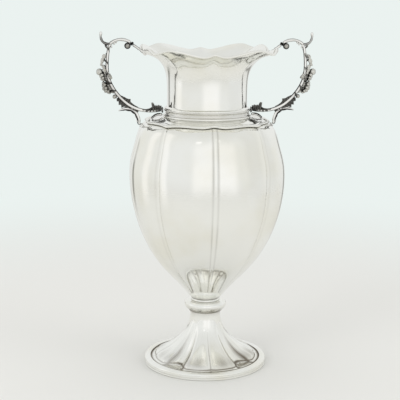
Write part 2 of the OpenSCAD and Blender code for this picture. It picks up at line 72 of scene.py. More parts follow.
# The silver's inputs, by the names that a finish gives them
SKIN_COLOURS = ("silver", "patch", "oxide_and_shade")
SKIN_AMOUNTS = ("patch_amount", "recess_reach", "recess_amount", "polish", "wear", "ripple",
                "ripple_scale", "grain", "shine")
# Pale silver of rubbed high spots, laid along ridges as wear and as a painted highlight
WORN_AND_HIGHLIGHT_SILVER = (0.85, 0.84, 0.8, 1)

Row = Sequence[float]
Rings = Sequence[Sequence[Row]]
Colour = tuple[float, float, float]
Line = Callable[[float], Vector]
Section = Callable[[float, float], float]
Piece = bpy.types.Object
Tree = bpy.types.NodeTree
Socket = bpy.types.NodeSocket


class Slot(Enum):
    """The record's material slots."""

    POLISHED = "polished_silver"
    WIRE = "edge_wire"
    HANDLE = "handle_casting"
    VINE = "vine_casting"


class Finish(Enum):
    """The finishes of the silver."""

    POLISHED = auto()
    WIRE = auto()
    CAST = auto()
    VINE = auto()
    LEAF = auto()


# Small sums that the shapes share


def mix(low: float, high: float, share: float) -> float:
    """Return the value that lies a share of the way from low to high."""
    return low + (high - low) * share


def unit(vector: Vector) -> Vector:
    """Return the vector at length one."""
    return vector.normalized()


def bump(place: float, centre: float, width: float) -> float:
    """Return a soft hump: one at the centre, near nothing two widths away."""
    return math.exp(-(((place - centre) / width) ** 2))


def polar(radius: float, angle: float, height: float) -> tuple[float, float, float]:
    """Return a point by its radius, its angle in radians and its height."""
    return radius * math.cos(angle), radius * math.sin(angle), height


def around(sides: int) -> list[float]:
    """Return that many equal steps of a full turn, in radians."""
    return [FULL_TURN * i / sides for i in range(sides)]


def curve_at(knots: Sequence, place: float) -> np.ndarray:
    """Return a place on the curve that passes smoothly through all the knots.

    Args:
        knots: The knots, each a number or a row of numbers.
        place: Where along the knots, counted from nought.

    Returns:
        The number or row at that place.
    """
    last = len(knots) - 1
    i = max(0, min(int(math.floor(place)), last - 1))
    t = place - i
    a, b, c, d = (np.asarray(knots[max(0, min(last, k))], float) for k in range(i - 1, i + 3))
    return (b + (c - a) * t / 2 + (2 * a - 5 * b + 4 * c - d) * t**2 / 2
            + (3 * b - a - 3 * c + d) * t**3 / 2)


def curve(knots: Sequence, steps: int) -> list[np.ndarray]:
    """Return points at equal steps along the curve through the knots."""
    return [curve_at(knots, (len(knots) - 1) * k / steps) for k in range(steps + 1)]


class SmoothProfile:
    """A profile whose curvature runs on through its knots, as a polished wall's does."""

    def __init__(self, knots: Sequence[Row]) -> None:
        """Solve the curve.

        Args:
            knots: The knots, rows of numbers of which the first two are a place.
        """
        self.knots = np.asarray(knots, float)
        steps = np.linalg.norm(np.diff(self.knots[:, :2], axis=0), axis=1)
        self.places = np.concatenate([[0.0], np.cumsum(steps)])
        count = len(self.knots)
        sums = np.zeros((count, count))
        right = np.zeros_like(self.knots)
        sums[0, 0] = sums[-1, -1] = 1.0
        slopes = np.diff(self.knots, axis=0) / steps[:, None]
        for i in range(1, count - 1):
            sums[i, i - 1: i + 2] = steps[i - 1], 2 * (steps[i - 1] + steps[i]), steps[i]
            right[i] = 6 * (slopes[i] - slopes[i - 1])
        self.bends = np.linalg.solve(sums, right)

    def at(self, share: float) -> np.ndarray:
        """Return the row of numbers at a share of the profile's length."""
        place = share * self.places[-1]
        i = int(np.clip(np.searchsorted(self.places, place) - 1, 0, len(self.knots) - 2))
        step = self.places[i + 1] - self.places[i]
        a = (self.places[i + 1] - place) / step
        b = 1 - a
        return (a * self.knots[i] + b * self.knots[i + 1]
                + ((a**3 - a) * self.bends[i] + (b**3 - b) * self.bends[i + 1]) * step**2 / 6)

    def rows(self, count: int) -> list[np.ndarray]:
        """Return that many rows of numbers, evenly along the profile."""
        return [self.at(k / (count - 1)) for k in range(count)]


def off_crown(angle: float) -> float:
    """Return how far a direction lies from its lobe's crown: 0 there, 1 at a crease."""
    turn = angle * LOBES / FULL_TURN
    return 2 * abs(turn - math.floor(turn) - 0.5)


def near_axis(angle: float) -> float:
    """Return 1 on one of the four axes and 0 on a diagonal."""
    return (1 + math.cos(4 * angle)) / 2


def wave(shares: Sequence[float], angle: float) -> float:
    """Return a wave given from an axis to the next diagonal and mirrored all round."""
    turn = angle / (math.pi / 2)
    return float(curve_at(shares, 2 * abs(turn - round(turn)) * (len(shares) - 1)))


def lobed_angles() -> list[float]:
    """Return columns all round that lie closer together by the creases."""
    half = FULL_TURN / LOBES / 2
    offs = [-1.0] + [-off for off in reversed(HALF_LOBE)] + list(HALF_LOBE[1:])
    return [half * (2 * lobe + 1 + off) for lobe in range(LOBES) for off in offs]


# Modelling steps


def deselect() -> None:
    """Leave edit mode and deselect everything."""
    if bpy.context.object and bpy.context.object.mode != "OBJECT":
        bpy.ops.object.mode_set(mode="OBJECT")
    bpy.ops.object.select_all(action="DESELECT")


def select(piece: Piece) -> None:
    """Select one piece alone and make it the active one."""
    deselect()
    piece.select_set(True)
    bpy.context.view_layer.objects.active = piece


def apply_modifier(piece: Piece, kind: str, **settings: object) -> None:
    """Add a modifier to a piece and apply it at once.

    Args:
        piece: The piece to change.
        kind: The modifier's type.
        **settings: Its settings.
    """
    select(piece)
    modifier = piece.modifiers.new(kind.title(), kind)
    for name, value in settings.items():
        setattr(modifier, name, value)
    bpy.ops.object.modifier_apply(modifier=modifier.name)


def subdivide(piece: Piece) -> None:
    """Round a piece off with one level of subdivision surface, applied."""
    apply_modifier(piece, "SUBSURF", levels=1, render_levels=1)


def edit_mesh(piece: Piece, *steps: Callable[[], object]) -> None:
    """Take steps in edit mode, with all of a piece's mesh selected."""
    select(piece)
    bpy.ops.object.mode_set(mode="EDIT")
    bpy.ops.mesh.select_all(action="SELECT")
    for step in steps:
        step()
    bpy.ops.object.mode_set(mode="OBJECT")


def clean_normals(piece: Piece) -> None:
    """Merge doubled points and turn every face outwards."""
    edit_mesh(piece, lambda: bpy.ops.mesh.remove_doubles(threshold=DOUBLED * MM),
              lambda: bpy.ops.mesh.normals_make_consistent(inside=False))


def thicken(piece: Piece) -> None:
    """Give an open surface the thickness of its sheet, inwards.

    Args:
        piece: The surface, whose outer side faces away from the axis or upwards.
    """
    facing, upwards = 0.0, Vector((0.0, 0.0, 0.5))
    for face in piece.data.polygons:
        out = unit(Vector((face.center.x, face.center.y, 0.0))) + upwards
        facing += face.area * face.normal.dot(out)
    if facing < 0:
        edit_mesh(piece, bpy.ops.mesh.flip_normals)
    apply_modifier(piece, "SOLIDIFY", thickness=SHEET * MM, offset=-1.0, use_even_offset=True)


def join(pieces: Sequence[Piece], name: str) -> Piece:
    """Join pieces into the first of them and name it."""
    deselect()
    for piece in pieces:
        piece.select_set(True)
    bpy.context.view_layer.objects.active = pieces[0]
    if len(pieces) > 1:
        bpy.ops.object.join()
    pieces[0].name = name
    return pieces[0]


def seat_points(piece: Piece, points: np.ndarray) -> None:
    """Move a mesh's points to their places, given in millimetres."""
    piece.data.vertices.foreach_set("co", (np.asarray(points, float) * MM).ravel())
    piece.data.update()


def loft(name: str, rows: Rings, closed: tuple[bool, bool] = (True, True),
         dark: Sequence[Row] | None = None) -> Piece:
    """Extrude a circle once for each row of points, then seat its points on them.

    Args:
        name: The new piece's name.
        rows: Rows of points in millimetres, with as many points in each.
        closed: Whether the first and the last row are closed with a face.
        dark: How much tarnish and painted shade lies on each point, in the same rows.

    Returns:
        The new piece.
    """
    sides = len(rows[0])
    deselect()
    bpy.ops.mesh.primitive_circle_add(vertices=sides, radius=1.0,
                                      fill_type="NGON" if any(closed) else "NOTHING")
    piece = bpy.context.object
    piece.name = name
    start = piece.data.vertices[0].co
    start_turn = math.atan2(start.y, start.x)
    up = {"value": (0.0, 0.0, 1.0)}
    steps = [lambda: bpy.ops.mesh.extrude_region_move(TRANSFORM_OT_translate=up)]
    steps *= len(rows) - 1
    if closed == (True, False):
        steps.append(lambda: bpy.ops.mesh.delete(type="ONLY_FACE"))
    edit_mesh(piece, *steps)
    found = np.empty(len(piece.data.vertices) * 3)
    piece.data.vertices.foreach_get("co", found)
    found = found.reshape(-1, 3)
    row = np.rint(found[:, 2]).astype(int)
    turn = (np.arctan2(found[:, 1], found[:, 0]) - start_turn) / FULL_TURN
    place = np.rint(turn * sides).astype(int) % sides
    seat_points(piece, np.asarray(rows, float)[row, place])
    if dark is not None:
        tarnish_and_shade = piece.data.attributes.new("tarnish_and_shade", "FLOAT", "POINT")
        tarnish_and_shade.data.foreach_set("value", np.asarray(dark, float)[row, place])
    clean_normals(piece)
    return piece


def hoop(name: str, rings: Rings) -> Piece:
    """Add a torus and seat its points on rings that follow one another in a loop.

    Args:
        name: The new piece's name.
        rings: The rings' points in millimetres.

    Returns:
        The new piece.
    """
    deselect()
    bpy.ops.mesh.primitive_torus_add(major_segments=len(rings), minor_segments=len(rings[0]),
                                     major_radius=10.0, minor_radius=1.0)
    piece = bpy.context.object
    piece.name = name
    seat_points(piece, np.asarray(rings, float).reshape(-1, 3))
    clean_normals(piece)
    return piece


def turned(name: str, section: Sequence[Row], sides: int) -> Piece:
    """Make a turned ring from its closed section.

    Args:
        name: The new piece's name.
        section: Radius and height of each point, once round the section.
        sides: How many sides the ring has.

    Returns:
        The new piece.
    """
    return hoop(name, [[polar(r, angle, z) for r, z in section] for angle in around(sides)])


def softened(corners: Sequence[Row], radius: float, steps: int) -> list[tuple[float, ...]]:
    """Round the corners of a closed section.

    Args:
        corners: The section's corners in order.
        radius: Radius of the rounding, cut short on a short side.
        steps: Points on each rounding, less one.

    Returns:
        The rounded section.
    """
    rounded = []
    for i, corner in enumerate(corners):
        here = Vector(corner)
        before = Vector(corners[i - 1]) - here
        after = Vector(corners[(i + 1) % len(corners)]) - here
        start = here + min(radius, 0.4 * before.length) * unit(before)
        end = here + min(radius, 0.4 * after.length) * unit(after)
        for k in range(steps + 1):
            t = k / steps
            rounded.append(tuple((1 - t) ** 2 * start + 2 * t * (1 - t) * here + t**2 * end))
    return rounded


def edge_wire(name: str, line: Sequence[Row]) -> Piece:
    """Make a closed wire along a line of points, soldered to the edge beside it."""
    points = [Vector(p) for p in line]
    radius = WIRE + SOLDER
    rings = []
    for j, place in enumerate(points):
        ahead = unit(points[(j + 1) % len(points)] - points[j - 1])
        side = unit(Vector((0, 0, 1)).cross(ahead))
        other = ahead.cross(side)
        rings.append([place + radius * (math.cos(a) * side + math.sin(a) * other)
                      for a in around(12)])
    piece = hoop(name, rings)
    subdivide(piece)
    return piece


def frames(path: Sequence[Row]) -> list[tuple[Vector, Vector, Vector]]:
    """Return the place and two directions across it at each point of a path."""
    places = [Vector(p[:3]) for p in path]
    last = len(places) - 1
    result = []
    for j, place in enumerate(places):
        ahead = unit(places[min(j + 1, last)] - places[max(j - 1, 0)])
        side = unit(Vector((0, 1, 0)).cross(ahead))
        result.append((place, side, ahead.cross(side)))
    return result


def rod(name: str, path: Sequence[Row], sides: int, section: Section = lambda angle, share: 1.0,
        dark: Section = lambda angle, share: 0.0) -> Piece:
    """Make a rod with rounded ends along a path.

    Args:
        name: The new piece's name.
        path: Points as x, y, z and radius, in millimetres.
        sides: How many sides the rod has.
        section: Factor on the radius by the angle round the rod and the share of its length.
            The angle counts from the side that lies in the handle's plane.
        dark: The tarnish and painted shade, by the same angle and share.

    Returns:
        The new piece.
    """
    points = np.asarray(path, float)
    steps = np.linalg.norm(np.diff(points[:, :3], axis=0), axis=1)
    run = np.concatenate([[0.0], np.cumsum(steps)])
    length, first, last = run[-1], points[0, 3], points[-1, 3]
    stops = [first * c for c in CAP]
    stops += [s for s in run if 1.1 * first < s < length - 1.1 * last]
    stops += [length - last * c for c in reversed(CAP)]
    places = np.column_stack([np.interp(stops, run, points[:, k]) for k in range(4)])
    rows, tarnish_and_shade = [], []
    for stop, place, (centre, side, other) in zip(stops, places, frames(places)):
        size = float(place[3])
        for reach, end in ((stop, first), (length - stop, last)):
            if reach < end:
                size *= math.sqrt(1 - (1 - reach / end) ** 2)
        share = float(stop / length)
        rows.append([centre + (math.cos(a) * side + math.sin(a) * other) * size * section(a, share)
                     for a in around(sides)])
        tarnish_and_shade.append([dark(a, share) for a in around(sides)])
    return loft(name, rows, dark=tarnish_and_shade)


def spindle(name: str, origin: Row, axis: Row, profile: Sequence[Row],
            sides: int = 32) -> Piece:
    """Make a small turned solid along an axis.

    Args:
        name: The new piece's name.
        origin: Where the profile's heights count from.
        axis: The axis's direction.
        profile: Radius and height of each row, from one end to the other.
        sides: How many sides it has.

    Returns:
        The new piece.
    """
    along = unit(Vector(axis))
    side = unit(Vector((0, 1, 0)).cross(along))
    other = along.cross(side)
    rows = [[Vector(origin) + along * z + r * (math.cos(a) * side + math.sin(a) * other)
             for a in around(sides)] for r, z in profile]
    return loft(name, rows)


def ball(name: str, centre: Row, radius: float, steps: int = 14, sides: int = 24) -> Piece:
    """Make a cast ball with a small dimple where it faces outwards.

    Args:
        name: The new piece's name.
        centre: The ball's middle in millimetres.
        radius: Its radius.
        steps: Rows from one pole to the other.
        sides: How many sides it has.

    Returns:
        The new piece.
    """
    profile = []
    for k in range(steps + 1):
        a = mix(0.06, math.pi - 0.06, k / steps)
        dimple = 0.12 * bump(a, math.pi, 0.32)
        profile.append((radius * math.sin(a), -radius * math.cos(a) * (1 - dimple)))
    return spindle(name, centre, Vector((centre[0], centre[1] * 3, 0.0)), profile, sides)


def relief(name: str, inner: Line, outer: Line, thickness: float, ribs: float,
           columns: int = 64, lean: float = 0.0) -> Piece:
    """Make a cast leaf that is thick where it grows from its stem and thin at its edge.

    Args:
        name: The new piece's name.
        inner: Its root line by the share of its length.
        outer: Its jagged edge by the share of its length.
        thickness: Its thickness at the root in millimetres.
        ribs: How many veins cross it.
        columns: Columns along it.
        lean: How far its edge leans towards the back in millimetres.

    Returns:
        The new piece.
    """
    rows = []
    for k in range(columns + 1):
        u = k / columns
        root, reach = inner(u), outer(u) - inner(u)
        rib = 0.74 + 0.26 * math.cos(FULL_TURN * ribs * u)
        end = math.sqrt(max(0.04, 1 - (2 * u - 1) ** 8))
        row = []
        for a in around(16):
            out = 0.5 - 0.5 * math.cos(a)
            half = 0.5 * thickness * math.sin(a) * (1 - 0.45 * out) * rib * end
            row.append(root + reach * out + Vector((0, half + lean * out**1.5, 0)))
        rows.append(row)
    return loft(name, rows)


def blade(name: str, spine: Sequence[Row], width: Callable[[float], float], across: Row,
          cup: float, thickness: float) -> Piece:
    """Make a thin cast leaf with four pairs of veins from a grid laid along its midrib.

    Args:
        name: The new piece's name.
        spine: Knots of the midrib, from the stalk to the tip.
        width: Half width by the share of the leaf's length.
        across: Direction across the leaf.
        cup: How far its edges stand off the midrib's level, as a part of the half width.
        thickness: Its thickness in millimetres.

    Returns:
        The new piece.
    """
    deselect()
    bpy.ops.mesh.primitive_grid_add(x_subdivisions=28, y_subdivisions=12, size=2.0)
    piece = bpy.context.object
    piece.name = name
    last = len(spine) - 1
    points = []
    for x, y, _ in [vertex.co.copy() for vertex in piece.data.vertices]:
        u = (x + 1) / 2
        place = Vector(curve_at(spine, u * last))
        ahead = unit(Vector(curve_at(spine, min(u + 0.02, 1) * last))
                     - Vector(curve_at(spine, max(u - 0.02, 0) * last)))
        out = Vector(across)
        out = unit(out - ahead * out.dot(ahead))
        half = width(u)
        vein = 0.16 * math.cos(FULL_TURN * 4 * (u - 0.45 * abs(y))) * abs(y) ** 0.5
        ridge = 0.3 * bump(y, 0, 0.16)
        level = cup * half * y * y + thickness * (ridge + vein) * (1 - u**4)
        points.append(place + out * y * half + ahead.cross(out) * level
                      + ahead * abs(y) ** 1.5 * half * 0.35)
    seat_points(piece, points)
    clean_normals(piece)
    apply_modifier(piece, "SOLIDIFY", thickness=thickness * MM, offset=0.0)
    subdivide(piece)
    return piece


def half_turn_copy(piece: Piece, name: str) -> Piece:
    """Copy a piece to the other side of the vase, turned half round its axis."""
    select(piece)
    bpy.ops.object.duplicate(linked=False)
    copy = bpy.context.object
    copy.name = name
    bpy.ops.transform.rotate(value=math.pi, orient_axis="Z", center_override=(0.0, 0.0, 0.0))
    bpy.ops.object.transform_apply(location=True, rotation=True, scale=True)
    return copy


# Finishes


class Nodes:
    """It adds nodes to one tree."""

    def __init__(self, tree: Tree) -> None:
        """Take the tree."""
        self.tree = tree

    def add(self, kind: str, inputs: dict | None = None, **settings: object) -> bpy.types.Node:
        """Add a node and fill its inputs.

        Args:
            kind: The node's type.
            inputs: What goes into each input: a value, or another node's output.
            **settings: The node's own settings.

        Returns:
            The new node.
        """
        node = self.tree.nodes.new(kind)
        for name, value in settings.items():
            setattr(node, name, value)
        for key, value in (inputs or {}).items():
            if isinstance(value, Socket):
                self.tree.links.new(value, node.inputs[key])
            else:
                node.inputs[key].default_value = value
        return node

    def calc(self, operation: str, *values: object) -> Socket:
        """Add a calculation with one or two values and return its result."""
        return self.add("ShaderNodeMath", dict(enumerate(values)), operation=operation).outputs[0]

    def times(self, first: object, second: object) -> Socket:
        """Add a product and return it."""
        return self.calc("MULTIPLY", first, second)

    def ramp(self, value: Socket, low: float, high: float, to_low: float = 0.0,
             to_high: float = 1.0) -> Socket:
        """Add a smooth step of a value between two limits and return its result."""
        node = self.add("ShaderNodeMapRange", {"Value": value, "From Min": low, "From Max": high,
                                               "To Min": to_low, "To Max": to_high},
                        interpolation_type="SMOOTHSTEP")
        return node.outputs["Result"]

    def mix(self, share: object, first: object, second: object) -> Socket:
        """Add a blend of two colours and return its result."""
        node = self.add("ShaderNodeMix", {0: share, 6: first, 7: second}, data_type="RGBA")
        return node.outputs[2]

    def noise(self, place: Socket, scale: object, detail: float, rough: float = 0.5) -> Socket:
        """Add a noise and return its value."""
        node = self.add("ShaderNodeTexNoise", {"Vector": place, "Scale": scale, "Detail": detail,
                                               "Roughness": rough})
        return node.outputs["Fac"]

    def dot(self, first: object, second: object) -> Socket:
        """Add the product of two directions and return it."""
        return self.add("ShaderNodeVectorMath", {0: first, 1: second},
                        operation="DOT_PRODUCT").outputs["Value"]


def silver_skin() -> Tree:
    """Build the node group that every silver finish shares.

    Returns:
        The group: it darkens recesses with oxide and painted shade, adds each point's tarnish
        and painted shade, lightens ridges with wear and a painted highlight, tints the silver in
        soft patches, and gives the hand work's faint ripple and the polishing's fine lines.
    """
    tree = bpy.data.node_groups.new("silver_skin", "ShaderNodeTree")
    for side, kind, names in (("INPUT", "NodeSocketColor", SKIN_COLOURS),
                              ("INPUT", "NodeSocketFloat", SKIN_AMOUNTS),
                              ("OUTPUT", "NodeSocketColor", ["Colour"]),
                              ("OUTPUT", "NodeSocketFloat", ["Roughness"]),
                              ("OUTPUT", "NodeSocketVector", ["Normal"])):
        for name in names:
            tree.interface.new_socket(name=name, in_out=side, socket_type=kind)
    nodes = Nodes(tree)
    given = nodes.add("NodeGroupInput").outputs
    place = nodes.add("ShaderNodeTexCoord").outputs["Object"]

    soft = nodes.noise(place, PATCH_SCALE, 3.0, 0.55)
    patch = nodes.times(nodes.ramp(soft, 0.42, 0.68), given["patch_amount"])
    colour = nodes.mix(patch, given["silver"], given["patch"])
    # Oxide and painted shade: the silver darkens where ambient occlusion finds a recess, mottled
    # by noise.
    shade = nodes.add("ShaderNodeAmbientOcclusion", {"Distance": given["recess_reach"]}, samples=6)
    recess_mottle = nodes.ramp(nodes.noise(place, RECESS_MOTTLE_SCALE, 2.0), 0.2, 0.62, 0.72, 1.0)
    deep = nodes.times(nodes.ramp(shade.outputs["AO"], 0.9, 0.3), recess_mottle)
    deep = nodes.times(deep, given["recess_amount"])
    # Wear and a painted highlight: convex ridges turn pale silver, by the amount of shine.
    points = nodes.add("ShaderNodeNewGeometry").outputs["Pointiness"]
    wear_and_highlight = nodes.times(nodes.ramp(points, 0.51, 0.6), given["shine"])
    colour = nodes.mix(wear_and_highlight, colour, WORN_AND_HIGHLIGHT_SILVER)
    # Each point's stored tarnish and painted shade, mottled by the patches.
    stored_tarnish_and_shade = nodes.add("ShaderNodeAttribute", attribute_name="tarnish_and_shade").outputs["Fac"]
    stored_tarnish_and_shade = nodes.times(stored_tarnish_and_shade, nodes.ramp(soft, 0.36, 0.6, 0.5, 1.0))
    deep = nodes.calc("MAXIMUM", deep, stored_tarnish_and_shade)
    colour = nodes.mix(deep, colour, given["oxide_and_shade"])

    wear = nodes.ramp(nodes.noise(place, WEAR_SCALE, 4.0, 0.6), 0.35, 0.75)
    rough = nodes.calc("ADD", nodes.times(wear, given["wear"]), given["polish"])
    rough = nodes.calc("ADD", rough, nodes.times(deep, 0.35))

    ripple = nodes.times(nodes.noise(place, given["ripple_scale"], 1.5, 0.4), given["ripple"])
    stretched = nodes.add("ShaderNodeMapping", {"Vector": place, "Scale": (1.0, 1.0, 0.08)})
    grain = nodes.noise(stretched.outputs["Vector"], LINE_SCALE, 2.0)
    grain = nodes.times(grain, given["grain"])
    height = nodes.calc("ADD", ripple, grain)
    bumps = nodes.add("ShaderNodeBump", {"Height": height, "Distance": 1.0, "Strength": 1.0})
    nodes.add("NodeGroupOutput", {"Colour": colour, "Roughness": rough,
                                  "Normal": bumps.outputs["Normal"]})
    return tree


@dataclass(frozen=True)
class SilverFinish:
    """One way in which a piece's silver is finished."""

    name: str
    slot: Slot
    silver: Colour
    patch: Colour
    oxide_and_shade: Colour
    patch_amount: float
    polish: float
    wear: float
    ripple: float
    ripple_scale: float
    # Where the painted shade at a piece's contour begins, and how dark it grows
    contour_shade_start: float
    contour_shade_amount: float
    recess_reach: float = 0.004
    recess_amount: float = 1.0
    grain: float = 0.000004
    shine: float = 0.0

    def build(self, skin: Tree) -> bpy.types.Material:
        """Make the material.

        Args:
            skin: The silver's shared node group.

        Returns:
            The new material.
        """
        material = bpy.data.materials.new(self.name)
        material.use_nodes = True
        nodes = Nodes(material.node_tree)
        group = nodes.add("ShaderNodeGroup", node_tree=skin)
        values = asdict(self)
        for name in SKIN_COLOURS:
            group.inputs[name].default_value = (*values[name], 1)
        for name in SKIN_AMOUNTS:
            group.inputs[name].default_value = values[name]
        shader = nodes.tree.nodes["Principled BSDF"].inputs
        shader["Metallic"].default_value = 1.0
        # Painted shade: the silver turns towards its oxide colour where its face turns away from
        # the view, a dark contour.
        facing = nodes.add("ShaderNodeLayerWeight", {"Blend": 0.5}).outputs["Facing"]
        edge = nodes.ramp(facing, self.contour_shade_start, 1.0, 0.0, self.contour_shade_amount)
        colour = nodes.mix(edge, group.outputs["Colour"], (*self.oxide_and_shade, 1))
        nodes.tree.links.new(colour, shader["Base Color"])
        for name in ("Roughness", "Normal"):
            nodes.tree.links.new(group.outputs[name], shader[name])
        return material


FINISHES = {
    Finish.POLISHED: SilverFinish(
        "polished_silver", Slot.POLISHED, (0.935, 0.935, 0.905), (0.87, 0.85, 0.76),
        (0.25, 0.22, 0.18), patch_amount=0.65, polish=0.07, wear=0.07, ripple=0.00011,
        ripple_scale=20.0, contour_shade_start=0.8, contour_shade_amount=0.6, recess_amount=0.16,
        grain=0.0000012),
    Finish.WIRE: SilverFinish(
        "edge_wire_silver", Slot.WIRE, (0.92, 0.915, 0.88), (0.8, 0.78, 0.72),
        (0.22, 0.2, 0.17), patch_amount=0.5, polish=0.1, wear=0.08, ripple=0.00003,
        ripple_scale=60.0, contour_shade_start=0.6, contour_shade_amount=0.4, recess_reach=0.003,
        recess_amount=0.12, grain=0.000002),
    Finish.CAST: SilverFinish(
        "cast_silver", Slot.HANDLE, (0.93, 0.925, 0.9), (0.55, 0.535, 0.5),
        (0.03, 0.028, 0.026), patch_amount=0.5, polish=0.12, wear=0.12, ripple=0.00009,
        ripple_scale=140.0, contour_shade_start=0.4, contour_shade_amount=0.85),
    Finish.VINE: SilverFinish(
        "vine_silver", Slot.VINE, (0.68, 0.67, 0.625), (0.3, 0.29, 0.26),
        (0.012, 0.011, 0.01), patch_amount=0.7, polish=0.17, wear=0.16, ripple=0.00014,
        ripple_scale=190.0, contour_shade_start=0.3, contour_shade_amount=0.9, recess_reach=0.006,
        shine=0.55),
    Finish.LEAF: SilverFinish(
        "leaf_silver", Slot.VINE, (0.1, 0.097, 0.09), (0.035, 0.034, 0.032),
        (0.01, 0.0095, 0.009), patch_amount=0.8, polish=0.2, wear=0.16, ripple=0.00018,
        ripple_scale=190.0, contour_shade_start=0.4, contour_shade_amount=0.85, recess_reach=0.006,
        shine=0.35),
}


def lay_tarnish_and_shade(piece: Piece, amount: Callable[[float, float, float], float]) -> None:
    """Store on each point how much tarnish and painted shade lies there.

    Args:
        piece: The finished mesh.
        amount: The tarnish and painted shade by a point's radius, angle and height, in millimetres
            and radians.
    """
    points = [vertex.co / MM for vertex in piece.data.vertices]
    values = [amount(math.hypot(p.x, p.y), math.atan2(p.y, p.x), p.z) for p in points]
    piece.data.attributes.new("tarnish_and_shade", "FLOAT", "POINT").data.foreach_set("value", values)


class Dresser:
    """It gives each finished piece its silver, its body and its node."""

    def __init__(self) -> None:
        """Build the finishes."""
        skin = silver_skin()
        self.materials = {finish: look.build(skin) for finish, look in FINISHES.items()}
        self.count = 0

    def dress(self, piece: Piece, node: str, finish: Finish, angle: float = 40.0) -> None:
        """Finish a piece that stands for a node.

        Args:
            piece: The finished mesh.
            node: The node that it stands for.
            finish: How its silver is finished.
            angle: Edges sharper than this many degrees stay sharp.
        """
        select(piece)
        bpy.ops.object.shade_smooth_by_angle(angle=math.radians(angle))
        piece.name = f"{node}_dressed"
        piece.data.name = piece.name
        piece.data.materials.clear()
        piece.data.materials.append(self.materials[finish])
        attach(piece, BODY)
        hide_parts(node)
        self.count += 1
        LOG.info("%s: %d faces", piece.name, len(piece.data.polygons))


# The vessel, from the table up


